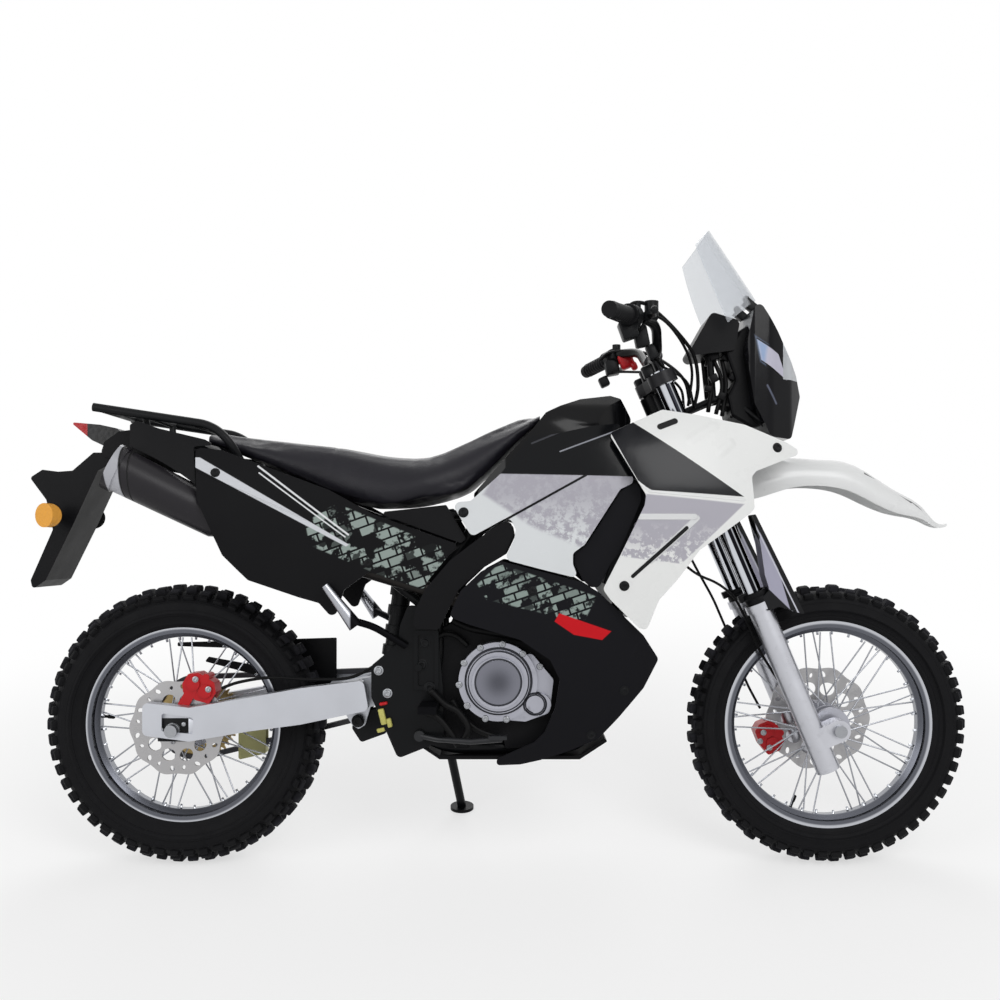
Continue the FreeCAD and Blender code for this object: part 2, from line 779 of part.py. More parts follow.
def clamp_plate(base, height):
    """Fork clamp between the legs and the stem."""
    ring = s.fork_tube_radius + s.clamp_wall
    outline_shares = [(-0.22, 0.08), (-0.10, 0.35), (0.05, 0.95), (0.40, 0.95), (0.52, 0.38)]
    right = [Vector(x * s.fork_half_spacing, -y * s.fork_half_spacing, base)
             for x, y in outline_shares]
    left = [Vector(point.x, -point.y, base) for point in reversed(right)]
    web = Part.Face(rounded(right + left, s.clamp_wall)).extrude(UP * height)
    pieces = [web]
    for side in (1, -1):
        centre = Vector(s.fork_offset, side * s.fork_half_spacing, base)
        pieces.append(Part.makeCylinder(ring, height, centre, UP))
    plate = fused(pieces)
    for side in (1, -1):
        centre = Vector(s.fork_offset, side * s.fork_half_spacing, base - s.cut_over)
        bore = Part.makeCylinder(s.fork_tube_radius + s.running_fit, height + 2 * s.cut_over, centre, UP)
        plate = plate.cut(bore)
    return plate


def triple_clamps():
    """Both clamps on their stem, with the handlebar's risers."""
    top = s.upper_clamp_base + s.upper_clamp_height
    stem = Part.makeCylinder(s.stem_radius, top - s.lower_clamp_base,
                             Vector(0, 0, s.lower_clamp_base), UP)
    pieces = [clamp_plate(s.lower_clamp_base, s.lower_clamp_height),
              clamp_plate(s.upper_clamp_base, s.upper_clamp_height), stem]
    ring = s.bar_radius + s.clear_gap
    for side in (1, -1):
        across = side * s.riser_spacing
        post = Part.makeCylinder(s.riser_radius * 0.85, s.bar_height - top,
                                 Vector(s.bar_forward, across, top), UP)
        clasp = Part.makeCylinder(ring, 2 * s.riser_radius,
                                  Vector(s.bar_forward, across - s.riser_radius, s.bar_height), ACROSS)
        pieces.extend([post, clasp])
    body = fused(pieces)
    bore = Part.makeCylinder(s.bar_radius + s.running_fit, 4 * s.riser_spacing,
                             Vector(s.bar_forward, -2 * s.riser_spacing, s.bar_height), ACROSS)
    body = body.cut(bore).Solids[0]
    body.Placement = STEERING
    add("triple_clamps", body)


def bar_points(side):
    """Centre line of one half of the handlebar, from the middle out."""
    centre = steer(s.bar_forward, 0, s.bar_height)
    bend_shares = [(0.0, 0.0, 0.0), (0.0, 0.24, 0.0), (0.10, 0.45, 0.92), (0.42, 0.57, 1.0)]
    points = []
    for back, out, up in bend_shares:
        points.append(centre + Vector(-back * s.bar_sweep, side * out * s.bar_half_length, up * s.bar_crest))
    points.append(centre + Vector(-s.bar_sweep, side * s.bar_half_length, s.bar_lift))
    return points


def along_bar(side, distance):
    """Point on the bar's outer run, measured inward from its end."""
    points = bar_points(side)
    inward = (points[-2] - points[-1]).normalize()
    return points[-1] + inward * distance


def handlebar():
    """Handlebar, its grips and its controls."""
    right = bar_points(-1)
    left = bar_points(1)
    path = list(reversed(right))[:-1] + left[1:]
    bar = tube(path, s.bar_radius, s.tube_bend)
    add("handlebar", bar)
    grips = []
    controls = []
    for side in (1, -1):
        inner = along_bar(side, s.grip_length)
        beyond = along_bar(side, -s.grip_wall)
        flange = along_bar(side, s.grip_length - s.grip_wall)
        sleeve = rod(beyond, inner, s.bar_radius + s.grip_wall)
        ring = rod(flange, inner, s.bar_radius + 2 * s.grip_wall)
        core = rod(along_bar(side, -s.seating_gap), along_bar(side, s.grip_length + s.cut_over),
                   s.bar_radius + s.running_fit)
        grips.append(fused([sleeve, ring]).cut(core).Solids[0])
        controls.append(bar_control(side))
    add("grips", Part.makeCompound(grips))
    add("bar_controls", Part.makeCompound(controls))


def mirror_boss(side):
    """Foot of the mirror boss on its perch, on the bar's axis."""
    return along_bar(side, s.grip_length + s.clear_gap + 2.9 * s.riser_radius)


def bar_control(side):
    """Switch housing, lever perch with its mirror boss, and lever of one side."""
    start = along_bar(side, s.grip_length + s.clear_gap)
    end = along_bar(side, s.grip_length + s.clear_gap + 2 * s.riser_radius)
    inward = (end - start).normalize()
    housing = rod(start, end, s.bar_radius + 2 * s.grip_wall)
    block = rod(start + inward * s.clear_gap - UP * s.riser_radius, end - inward * s.clear_gap - UP * s.riser_radius,
                s.riser_radius * 1.2)
    perch_at = mirror_boss(side)
    perch = rod(end - inward * s.clear_gap, perch_at + inward * s.riser_radius * 0.8, s.bar_radius + s.clear_gap)
    boss = rod(perch_at, perch_at + UP * s.mirror_boss_height, s.riser_radius * 0.7)
    cylinder_at = perch_at + FORWARD * 1.9 * s.riser_radius
    arm = rod(perch_at, cylinder_at, s.riser_radius * 0.6)
    cylinder = rod(cylinder_at - inward * s.riser_radius, cylinder_at + inward * 2 * s.riser_radius, s.riser_radius * 0.7)
    tip = along_bar(side, 3 * s.clear_gap) + FORWARD * 5.6 * s.riser_radius
    knee = cylinder_at - inward * 2.4 * s.riser_radius + FORWARD * 1.4 * s.riser_radius
    lever = tube([cylinder_at - inward * s.riser_radius * 0.5, knee, tip], s.lever_radius, s.riser_radius)
    knob = Part.makeSphere(s.lever_radius * 1.5, tip)
    pieces = [housing, block, perch, boss, arm, cylinder, lever, knob]
    if side < 0:
        tank_at = cylinder_at + inward * s.riser_radius
        pieces.append(rod(tank_at, tank_at + UP * 2.2 * s.riser_radius, s.riser_radius))
    body = pieces[0]
    for other in pieces[1:]:
        body = body.fuse(other)
    body = body.removeSplitter()
    core = tube(bar_points(side), s.bar_radius + s.running_fit, s.tube_bend)
    top = perch_at + UP * s.mirror_boss_height
    hole = rod(top - UP * s.mirror_hole_depth, top + UP * s.cut_over, s.mirror_hole_radius)
    return max(body.cut(core).cut(hole).Solids, key=lambda solid: solid.Volume)


def fork_guards():
    """Moulded guards in front of the legs, open to the rear."""
    outline_shares = [
        (0.84, 1.56), (0.90, 1.56), (1.04, 0.81), (0.93, 0.84), (0.60, 0.93), (0.30, 0.93),
        (0.30, 1.02), (0.55, 1.06), (0.58, 1.16), (0.75, 1.36),
    ]
    guards = []
    reach = s.fork_half_spacing
    for side in (1, -1):
        near = side * s.fork_half_spacing - s.guard_half
        points = [Vector(p * reach, near, a * s.lower_leg_top) for p, a in outline_shares]
        outer = Part.Face(rounded(points, s.panel_corner)).extrude(ACROSS * 2 * s.guard_half)
        inner_points = [point - FORWARD * s.guard_wall + ACROSS * s.guard_wall for point in points]
        inner = Part.Face(rounded(inner_points, s.panel_corner))
        inner = inner.extrude(ACROSS * 2 * (s.guard_half - s.guard_wall))
        centre = Vector(s.fork_offset, side * s.fork_half_spacing, 0)
        bore = Part.makeCylinder(s.lower_leg_radius + s.seating_gap, s.lower_leg_top, centre, UP)
        collar_base = s.lower_leg_top - s.leg_collar_height - s.seating_gap
        collar = Part.makeCylinder(s.lower_leg_radius + s.leg_collar + s.seating_gap,
                                   s.leg_collar_height + 2 * s.seating_gap,
                                   centre + UP * collar_base, UP)
        guard = outer.cut(inner).cut(bore).cut(collar)
        body = max(guard.Solids, key=lambda solid: solid.Volume)
        body.Placement = STEERING
        guards.append(body)
    add("fork_guards", Part.makeCompound(guards))


def front_fender():
    """High front fender under the lower clamp."""
    station_shares = [
        (0.298, 0.515, 0.480, 0.62), (0.340, 0.520, 0.462, 0.80), (0.392, 0.527, 0.458, 0.98),
        (0.445, 0.539, 0.478, 1.00), (0.487, 0.536, 0.480, 0.98), (0.526, 0.532, 0.471, 0.92),
        (0.563, 0.511, 0.449, 0.82), (0.612, 0.471, 0.424, 0.66), (0.650, 0.440, 0.412, 0.46),
        (0.690, 0.406, 0.401, 0.14),
    ]
    wires = []
    for x, top, low, width in station_shares:
        crown = at((x, top))
        brim = at((x, low))
        half = width * s.fender_half
        rise = crown.z - brim.z
        outer = [Vector(crown.x, -half, brim.z), Vector(crown.x, -half * 0.86, brim.z + rise * 0.72),
                 crown, Vector(crown.x, half * 0.86, brim.z + rise * 0.72),
                 Vector(crown.x, half, brim.z)]
        wall = min(s.fender_wall, half / 3)
        inner = [Vector(crown.x, half - wall, brim.z),
                 Vector(crown.x, (half - wall) * 0.84, brim.z + (rise - wall) * 0.70),
                 crown - UP * wall,
                 Vector(crown.x, -(half - wall) * 0.84, brim.z + (rise - wall) * 0.70),
                 Vector(crown.x, wall - half, brim.z)]
        arch = Part.BSplineCurve()
        arch.interpolate(outer)
        under = Part.BSplineCurve()
        under.interpolate(inner)
        wires.append(Part.Wire([
            arch.toShape(), Part.LineSegment(outer[-1], inner[0]).toShape(), under.toShape(),
            Part.LineSegment(inner[-1], outer[0]).toShape()]))
    shell = Part.makeLoft(wires, True, False)
    boss_ahead = s.bar_forward
    boss_top = steer(boss_ahead, 0, s.lower_clamp_base - s.seating_gap)
    boss = rod(boss_top, boss_top - fork_up * s.lower_clamp_height * 1.35, s.clamp_wall)
    below = boss.cut(shell)
    keep_piece = max(below.Solids, key=lambda solid: solid.CenterOfMass.z)
    add("front_fender", shell.fuse(keep_piece).Solids[0])


def caliper_body():
    """Two-piston caliper about its centre, long in X, with its pistons across."""
    outline_shares = [(-0.50, -0.22), (-0.34, -0.50), (0.12, -0.50), (0.50, -0.34), (0.50, 0.18),
                      (0.30, 0.50), (-0.26, 0.50), (-0.50, 0.24)]
    corners = [Vector(x * s.caliper_length, -s.caliper_half_width, z * s.caliper_height) for x, z in outline_shares]
    body = Part.Face(rounded(corners, s.clear_gap)).extrude(ACROSS * 2 * s.caliper_half_width)
    reach = s.caliper_half_width + s.piston_step
    for share in (-0.21, 0.21):
        middle = Vector(share * s.caliper_length, 0, 0)
        body = body.fuse(rod(middle - ACROSS * reach, middle + ACROSS * reach, s.piston_radius))
    pin_at = Vector(0, 0, s.caliper_height / 2)
    return body.fuse(rod(pin_at - ACROSS * s.caliper_half_width, pin_at + ACROSS * s.caliper_half_width, s.stay_radius))


def front_caliper():
    """Brake caliper behind the left leg, over the disc's rim."""
    place_share = (-0.96, -0.34)
    centre = front_axle + Vector(place_share[0] * s.front_disc_radius, 0, place_share[1] * s.front_disc_radius)
    middle = s.front_hub_half + s.disc_wall / 2
    body = caliper_body()
    body.Placement = Placement(centre + ACROSS * middle, Rotation(ACROSS, s.rake + 45))
    slot = Part.makeCylinder(s.front_disc_radius + s.clear_gap, s.disc_wall + 2 * s.clear_gap,
                             front_axle + ACROSS * (middle - s.disc_wall / 2 - s.clear_gap), ACROSS)
    arm_from = centre + ACROSS * (middle + s.caliper_half_width - s.clear_gap)
    arm_to = steer(s.fork_offset, s.fork_half_spacing, 0)
    arm = rod(arm_from, arm_to, s.clear_gap + s.disc_wall)
    leg = rod(steer(s.fork_offset, s.fork_half_spacing, -s.lower_leg_foot),
              steer(s.fork_offset, s.fork_half_spacing, s.lower_leg_top),
              s.lower_leg_radius + s.seating_gap)
    web = Part.makeBox(2 * s.axle_lead, 2 * s.axle_lug_radius + s.clear_gap, 2 * s.axle_lug_radius + s.clear_gap)
    web.Placement = STEERING.multiply(Placement(
        Vector(s.fork_offset, s.fork_half_spacing - s.axle_lug_radius - s.seating_gap,
               -s.axle_lug_radius - s.seating_gap), Rotation()))
    whole = body.fuse(arm).cut(slot).cut(leg).cut(web)
    add("front_caliper", max(whole.Solids, key=lambda solid: solid.Volume))


def cables():
    """Brake hose on the left leg and speedometer cable on the right."""
    right_shares = [
        (0.4440, 0.047, -0.62), (0.4180, 0.090, -0.62), (0.3890, 0.150, -0.60), (0.3710, 0.205, -0.58),
        (0.3520, 0.258, -0.58), (0.3250, 0.287, -0.56), (0.2940, 0.302, -0.54), (0.2680, 0.330, -0.52),
        (0.2590, 0.385, -0.50), (0.2600, 0.445, -0.48),
    ]
    left_shares = [
        (0.4080, 0.020, 0.62), (0.3890, 0.066, 0.64), (0.3700, 0.125, 0.64), (0.3520, 0.190, 0.62),
        (0.3320, 0.250, 0.60), (0.3080, 0.305, 0.56), (0.2850, 0.360, 0.52), (0.2720, 0.420, 0.48),
        (0.2680, 0.470, 0.46),
    ]
    hoses = []
    for shares, side in ((right_shares, -1), (left_shares, 1)):
        points = [at((x, z), y * s.fork_half_spacing) for x, z, y in shares]
        under = steer(0, points[-1].y, s.lower_clamp_base - s.seating_gap)
        points.append(under - fork_up * 2 * s.clamp_wall)
        points.append(under)
        hoses.append(tube(points, s.cable_radius, s.lower_leg_top))
    add("cables", Part.makeCompound(hoses))


fork_lowers()
fork_tubes()
triple_clamps()
handlebar()
fork_guards()
front_fender()
front_caliper()
cables()


# Frame

def beam_points(side):
    """Centre line of a backbone beam, from the head tube to the pivot plate."""
    place_shares = [(0.246, 0.585, 0.20), (0.100, 0.500, 0.75), (-0.040, 0.405, 1.0),
                    (-0.114, 0.275, 1.0), (-0.130, 0.215, 1.0)]
    return [at((x, z), side * y * s.beam_half_spacing) for x, z, y in place_shares]


def down_tube(radius):
    """Straight tube from the head tube to the cradle."""
    foot_share = (0.171, 0.205)
    middle = (s.lower_clamp_base + s.lower_clamp_height + s.upper_clamp_base) / 2
    return rod(steer(-s.stem_radius, 0, middle), at(foot_share), radius)


def rail_points(side):
    """Centre line of an upper seat rail."""
    place_shares = [(-0.040, 0.425, 1.0), (-0.194, 0.410, 1.0), (-0.264, 0.446, 1.0),
                    (-0.428, 0.533, 0.95), (-0.549, 0.560, 0.92)]
    return [at((x, z), side * y * s.rail_half_spacing) for x, z, y in place_shares]


def pivot_place():
    """Centre of the swingarm's pivot."""
    pivot_share = (-0.130, 0.124)
    return at(pivot_share)


def stand_pivot():
    """Centre of the side stand's eye."""
    pivot_share = (-0.107, -0.005)
    return at(pivot_share, s.stand_pivot_out)


def stand_foot():
    """Underside of the side stand's foot, on the floor once the machine leans."""
    foot_share = -0.080
    height = (s.stand_reach * math.sin(lean) - lift) / math.cos(lean)
    return Vector(ahead_of_middle(foot_share), s.stand_reach, height)


def stand_axis():
    """Direction of the side stand's bolt: it takes the leg from down to back."""
    folded = Vector(-0.98, 0.16, 0.04)
    leg = stand_foot() - stand_pivot()
    return leg.cross(folded).normalize()


def main_frame():
    """Welded frame: head tube, beams, down tube, cradle and pivot plates."""
    clear = s.clear_gap
    low = s.lower_clamp_base + s.lower_clamp_height + clear
    high = s.upper_clamp_base - clear
    head = rod(steer(0, 0, low), steer(0, 0, high), s.stem_radius + s.running_fit + s.head_tube_wall)
    bore = rod(steer(0, 0, low - clear), steer(0, 0, high + clear), s.stem_radius + s.running_fit)
    pieces = [head, down_tube(s.down_tube_radius)]
    plate_shares = [
        (-0.158, 0.205), (-0.146, 0.245), (-0.104, 0.240), (-0.094, 0.084), (-0.092, -0.018),
        (-0.161, -0.054), (-0.201, 0.066), (-0.201, 0.127), (-0.161, 0.171),
    ]
    for side in (1, -1):
        pieces.append(tube(beam_points(side), s.beam_radius))
        cradle_shares = [(0.171, 0.205, 0.0), (0.150, 0.100, 0.75), (0.137, 0.000, 1.0),
                         (0.105, -0.040, 1.0), (-0.085, -0.040, 1.15), (-0.128, -0.010, 1.72)]
        cradle = [at((x, z), side * y * s.cradle_half_spacing) for x, z, y in cradle_shares]
        pieces.append(tube(cradle, s.cradle_radius))
        inner = side * s.plate_inner
        pieces.append(side_prism(plate_shares, inner, inner + side * s.plate_wall, s.panel_corner))
        outer = inner + side * (s.plate_wall + s.clear_gap)
        rim_shares = [(-0.137, 0.196), (-0.100, 0.196), (-0.100, 0.080), (-0.137, 0.080)]
        well_shares = [(-0.131, 0.188), (-0.106, 0.188), (-0.106, 0.088), (-0.131, 0.088)]
        rim_piece = side_prism(rim_shares, inner, outer, s.clear_gap)
        pieces.append(rim_piece.cut(side_prism(well_shares, inner + side * s.plate_wall, outer, s.clear_gap)))
    pivot = pivot_place()
    bolt = rod(pivot - ACROSS * (s.plate_inner + 2 * s.plate_wall),
               pivot + ACROSS * (s.plate_inner + 2 * s.plate_wall), s.pivot_bolt_radius)
    axis = stand_axis()
    centre = stand_pivot()
    half = s.stand_eye_width / 2
    lug = rod(centre - axis * (half + 2 * s.plate_wall), centre - axis * (half + s.seating_gap),
              s.stand_eye_radius)
    pin = rod(centre - axis * (half + s.clear_gap), centre + axis * (half + s.clear_gap),
              s.stand_pin_radius)
    pin_head = rod(centre + axis * (half + s.seating_gap), centre + axis * (half + s.clear_gap),
                   s.stand_pin_radius + s.clear_gap)
    cross = rod(at((-0.114, 0.275), -s.beam_half_spacing), at((-0.114, 0.275), s.beam_half_spacing),
                s.cradle_radius)
    pieces.extend([bolt, lug, pin, pin_head, cross])
    add("main_frame", fused(pieces).cut(bore).Solids[0])


def subframe():
    """Bolted seat frame: upper rails, struts and cross tubes."""
    pieces = []
    for side in (1, -1):
        rail = rail_points(side)
        pieces.append(tube(rail, s.rail_radius))
        strut_shares = [(-0.128, 0.245, 0.92), (-0.340, 0.470, 1.0), (-0.352, 0.489, 1.0)]
        strut = [at((x, z), side * y * s.rail_half_spacing) for x, z, y in strut_shares]
        pieces.append(tube(strut, s.rail_radius))
    for index in (1, 2, 3, 4):
        pieces.append(rod(rail_points(1)[index], rail_points(-1)[index], s.rail_radius * 0.8))
    shape = fused(pieces)
    for side in (1, -1):
        shape = shape.cut(tube(beam_points(side), s.beam_radius + s.running_fit))
    add("subframe", max(shape.Solids, key=lambda solid: solid.Volume))


def link_place():
    """Bolt of the shock's link under the swingarm."""
    return at((-0.228, 0.008))


def swingarm():
    """Aluminium swingarm with axle blocks and pivot tube."""
    rear_shares = [
        (-0.544, 0.055), (-0.474, 0.045), (-0.384, 0.065), (-0.308, 0.083), (-0.213, 0.098),
        (-0.205, 0.040), (-0.308, 0.012), (-0.384, -0.001), (-0.474, -0.021), (-0.544, -0.009),
    ]
    front_shares = [
        (-0.281, 0.080), (-0.211, 0.098), (-0.150, 0.145), (-0.122, 0.150), (-0.115, 0.125),
        (-0.140, 0.095), (-0.203, 0.040), (-0.281, 0.026),
    ]
    brace_shares = [(-0.265, 0.078), (-0.221, 0.090), (-0.221, 0.037), (-0.265, 0.030)]
    ear_shares = [(-0.256, 0.040), (-0.206, 0.052), (-0.218, 0.000), (-0.228, -0.008), (-0.238, 0.000)]
    window_shares = [(-0.515, 0.034), (-0.468, 0.026), (-0.468, -0.006), (-0.515, -0.001)]
    pieces = []
    for side in (1, -1):
        inner = side * s.arm_inner
        outer = side * s.arm_outer
        pieces.append(side_prism(rear_shares, inner, outer, s.panel_corner))
        pieces.append(side_prism(front_shares, side * s.arm_front_inner, side * s.arm_front_outer,
                                 s.panel_corner))
        pieces.append(side_prism(ear_shares, side * s.arm_front_inner, side * (s.arm_front_inner + s.panel_corner),
                                 s.clear_gap))
    pieces.append(side_prism(brace_shares, -s.arm_outer, s.arm_outer, s.clear_gap))
    pivot = pivot_place()
    pieces.append(rod(pivot - ACROSS * s.arm_front_outer, pivot + ACROSS * s.arm_front_outer,
                      s.pivot_tube_radius))
    pieces.append(rod(link_place() - ACROSS * (s.arm_front_outer - s.clear_gap),
                      link_place() + ACROSS * (s.arm_front_outer - s.clear_gap), s.pivot_bolt_radius))
    body = fused(pieces)
    for side in (1, -1):
        body = body.cut(side_prism(window_shares, side * (s.arm_outer - s.plate_wall),
                                   side * (s.arm_outer + s.clear_gap), s.clear_gap))
    bolt = rod(pivot - ACROSS * s.plate_inner, pivot + ACROSS * s.plate_inner,
               s.pivot_bolt_radius + s.running_fit)
    hole = rod(rear_axle - ACROSS * 2 * s.arm_outer, rear_axle + ACROSS * 2 * s.arm_outer,
               s.axle_radius + s.running_fit)
    add("swingarm", body.cut(bolt).cut(hole).Solids[0])


main_frame()
subframe()
swingarm()


# Side stand

def side_stand():
    """Leg, eye and foot, held by the bolt on the frame's lug."""
    pivot = stand_pivot()
    foot = stand_foot()
    axis = stand_axis()
    floor_up = Vector(0, -math.sin(lean), math.cos(lean))
    half = s.stand_eye_width / 2
    eye = rod(pivot - axis * half, pivot + axis * half, s.stand_eye_radius)
    pad = rod(foot, foot + floor_up * s.stand_foot_wall, s.stand_foot_radius)
    leg = rod(pivot + (foot - pivot).normalize() * s.stand_eye_radius / 2,
              foot + floor_up * s.stand_foot_wall / 2, s.stand_radius)
    below = rod(foot - floor_up * s.clear_gap * 4, foot, 2 * s.stand_foot_radius)
    hole = rod(pivot - axis * 2 * half, pivot + axis * 2 * half, s.stand_pin_radius + s.running_fit)
    lug_side = rod(pivot - axis * (half + 2 * s.plate_wall), pivot - axis * half, 2 * s.stand_eye_radius)
    head_side = rod(pivot + axis * half, pivot + axis * (half + 2 * s.plate_wall), 2 * s.stand_eye_radius)
    body = fused([eye, pad, leg]).cut(hole).cut(below).cut(lug_side).cut(head_side)
    add("side_stand", max(body.Solids, key=lambda solid: solid.Volume))


side_stand()


# Engine

def crankcase():
    """Engine block below the cylinder."""
    outline_shares = [
        (-0.084, 0.127), (-0.074, 0.171), (-0.027, 0.200), (0.045, 0.200), (0.080, 0.160),
        (0.088, 0.066), (0.054, 0.018), (-0.040, 0.010), (-0.077, 0.049),
    ]
    add("crankcase", side_prism(outline_shares, -s.case_half, s.case_half, s.panel_corner))


def clutch_cover():
    """Right engine cover with its raised round lid and the pump's nose, as a shape."""
    clutch_share = (-0.011, 0.097)
    pump_share = (0.052, 0.053)
    web_shares = [(-0.035, 0.025), (0.030, 0.018), (0.066, 0.035), (0.072, 0.100), (0.040, 0.150),
                  (-0.050, 0.140)]
    base = -s.case_half - s.seating_gap
    pieces = [side_prism(web_shares, base, base - s.clutch_reach * 0.8, s.panel_corner)]
    centre = at(clutch_share, base)
    out = -ACROSS
    ring = s.clutch_radius
    reach = s.clutch_reach
    for radius in (ring, ring * 0.80):
        pieces.append(Part.makeCylinder(radius, reach, centre, out))
        reach = reach + s.clutch_step
    pieces.append(Part.makeCylinder(s.clutch_cap_radius, reach, centre, out))
    pieces.append(Part.makeCylinder(s.pump_radius, s.clutch_reach, at(pump_share, base), out))
    return fused(pieces)


def generator_cover():
    """Left engine cover and the guard over the drive sprocket, as a shape."""
    generator_share = (0.012, 0.095)
    base = s.case_half + s.seating_gap
    drum = Part.makeCylinder(s.generator_radius, s.generator_reach, at(generator_share, base), ACROSS)
    cap = Part.makeCylinder(s.generator_radius * 0.75, s.generator_reach + s.clutch_step,
                            at(generator_share, base), ACROSS)
    guard_shares = [(-0.088, 0.118), (-0.070, 0.128), (-0.020, 0.120), (-0.020, 0.040),
                    (-0.070, 0.030), (-0.088, 0.040)]
    reach = base + s.generator_reach
    guard = side_prism(guard_shares, reach - s.clutch_step, reach, s.panel_corner)
    return fused([drum, cap, guard])


def cylinder_frame():
    """Frame at the cylinder's base, its Z along the bore."""
    base_share = (0.026, 0.200)
    return Placement(at(base_share), Rotation(ACROSS, s.cylinder_tilt))


def cylinder_head():
    """Finned cylinder and head, tilted forward."""
    pieces = [Part.makeBox(2 * s.barrel_half_length, 2 * s.barrel_half_width,
                           s.barrel_height + s.head_height,
                           Vector(-s.barrel_half_length, -s.barrel_half_width, 0))]
    count = int(s.barrel_height / s.fin_pitch)
    for index in range(1, count):
        corner = Vector(-s.fin_half_length, -s.fin_half_width, index * s.fin_pitch)
        fin = Part.makeBox(2 * s.fin_half_length, 2 * s.fin_half_width, s.fin_wall, corner)
        pieces.append(fin)
    head = Part.makeBox(2 * s.fin_half_length, 2 * s.fin_half_width, s.head_height,
                        Vector(-s.fin_half_length, -s.fin_half_width, s.barrel_height))
    pieces.append(head)
    body = fused(pieces)
    body.Placement = cylinder_frame()
    corner = cylinder_frame().Base + Vector(-s.wheelbase / 2, -2 * s.case_half, s.seating_gap)
    above = Part.makeBox(s.wheelbase, 4 * s.case_half, s.body_rise, corner)
    add("cylinder_head", body.common(above).Solids[0])


def silencer_frame():
    """Start and direction of the silencer."""
    front_share = (-0.401, 0.393)
    rear_share = (-0.579, 0.512)
    front = at(front_share, -s.silencer_front_out)
    return front, (at(rear_share, -s.silencer_rear_out) - front).normalize()


def exhaust():
    """Header pipe and silencer."""
    front, direction = silencer_frame()
    place_shares = [(0.136, 0.215, -0.12), (0.118, 0.195, -0.46), (0.050, 0.205, -0.60),
                    (-0.040, 0.238, -0.68), (-0.120, 0.279, -0.70), (-0.220, 0.318, -0.66),
                    (-0.320, 0.350, -0.57)]
    port_height = s.barrel_height + s.head_height / 3
    face = s.fin_half_length + s.seating_gap
    points = [cylinder_frame().multVec(Vector(face, 0, port_height)),
              cylinder_frame().multVec(Vector(face + 2 * s.exhaust_radius, 0, port_height))]
    points.extend(at((x, z), y * s.panel_half) for x, z, y in place_shares)
    points.extend([front - direction * 2 * s.exhaust_radius, front])
    add("exhaust_pipe", tube(points, s.exhaust_radius, s.exhaust_radius * 3))
    start = front + direction * s.seating_gap
    cone = Part.makeCone(s.exhaust_radius * 1.2, s.silencer_radius * 0.92, s.silencer_cone, start, direction)
    can_at = start + direction * s.silencer_cone
    can_length = s.silencer_length - s.silencer_cone - s.silencer_band
    can = Part.makeCone(s.silencer_radius * 0.92, s.silencer_radius, can_length, can_at, direction)
    band_at = can_at + direction * can_length
    band = Part.makeCylinder(s.silencer_radius + s.guard_wall, s.silencer_band, band_at, direction)
    hole = Part.makeCylinder(s.exhaust_radius, 2 * s.silencer_band, band_at, direction)
    add("silencer", fused([cone, can, band]).cut(hole).Solids[0])


def silencer_room():
    """Space kept free round the silencer, trimmed from the panels beside it."""
    front, direction = silencer_frame()
    return Part.makeCylinder(s.silencer_radius + s.guard_wall + s.clear_gap, s.silencer_length,
                             front, direction)


def radiators():
    """Radiator on each side of the down tube."""
    centre_share = (0.180, 0.384)
    blocks = []
    for side in (1, -1):
        inner = s.radiator_inner
        block = Part.makeBox(s.radiator_wall, s.radiator_width, s.radiator_height,
                             Vector(-s.radiator_wall / 2, 0, -s.radiator_height / 2))
        block = block.makeFillet(s.clear_gap, block.Edges)
        slots = []
        slot_count = int((s.radiator_height - 4 * s.core_slot) / s.core_slot_pitch)
        for index in range(slot_count):
            height = (index - (slot_count - 1) / 2) * s.core_slot_pitch
            slots.append(Part.makeBox(s.core_slot, s.radiator_width - 4 * s.core_slot, s.core_slot,
                                      Vector(s.radiator_wall / 2 - s.core_slot / 2, 2 * s.core_slot,
                                             height - s.core_slot / 2)))
        block = block.cut(Part.makeCompound(slots))
        block.Placement = Placement(at(centre_share, inner), Rotation(ACROSS, s.radiator_tilt))
        arm = rod(at((0.207, 0.384)), at(centre_share, inner + s.radiator_wall), s.boss_radius)
        down_cut = down_tube(s.down_tube_radius + s.seating_gap)
        block = max(block.fuse(arm).cut(down_cut).Solids, key=lambda solid: solid.Volume)
        blocks.append(block if side > 0 else mirrored(block))
    add("radiators", Part.makeCompound(blocks))


crankcase()
add("engine_covers", Part.makeCompound([clutch_cover(), generator_cover()]))
cylinder_head()
exhaust()
radiators()


# Drive

def chain_layout():
    """Centres and pitch radii of the two sprockets, and the tangent angle."""
    drive_share = (-0.070, 0.079)
    drive = at(drive_share, s.rear_hub_half + s.sprocket_wall / 2)
    rear = rear_axle + ACROSS * (s.rear_hub_half + s.sprocket_wall / 2)
    big = s.chain_pitch / (2 * math.sin(math.pi / s.sprocket_teeth))
    small = s.chain_pitch / (2 * math.sin(math.pi / s.drive_teeth))
    return drive, rear, big, small


def chain_outline(offset):
    """Belt-shaped wire round both sprockets, pushed out by an offset."""
    drive, rear, big, small = chain_layout()
    span = drive - rear
    slope = math.atan2(span.z, span.x)
    spread = math.acos((big - small) / span.Length)
    side = -ACROSS * s.chain_width / 2

    def around(centre, radius, angle):
        return centre + side + Vector(math.cos(angle), 0, math.sin(angle)) * (radius + offset)

    upper = slope + spread
    lower = slope - spread
    rear_links = int(s.sprocket_teeth / 4)
    drive_links = int(s.drive_teeth / 2)
    points = [around(rear, big, upper + (lower + 2 * math.pi - upper) * index / rear_links)
              for index in range(rear_links + 1)]
    points += [around(drive, small, lower + (upper - lower) * index / drive_links)
               for index in range(drive_links + 1)]
    return Part.makePolygon(points + points[:1])


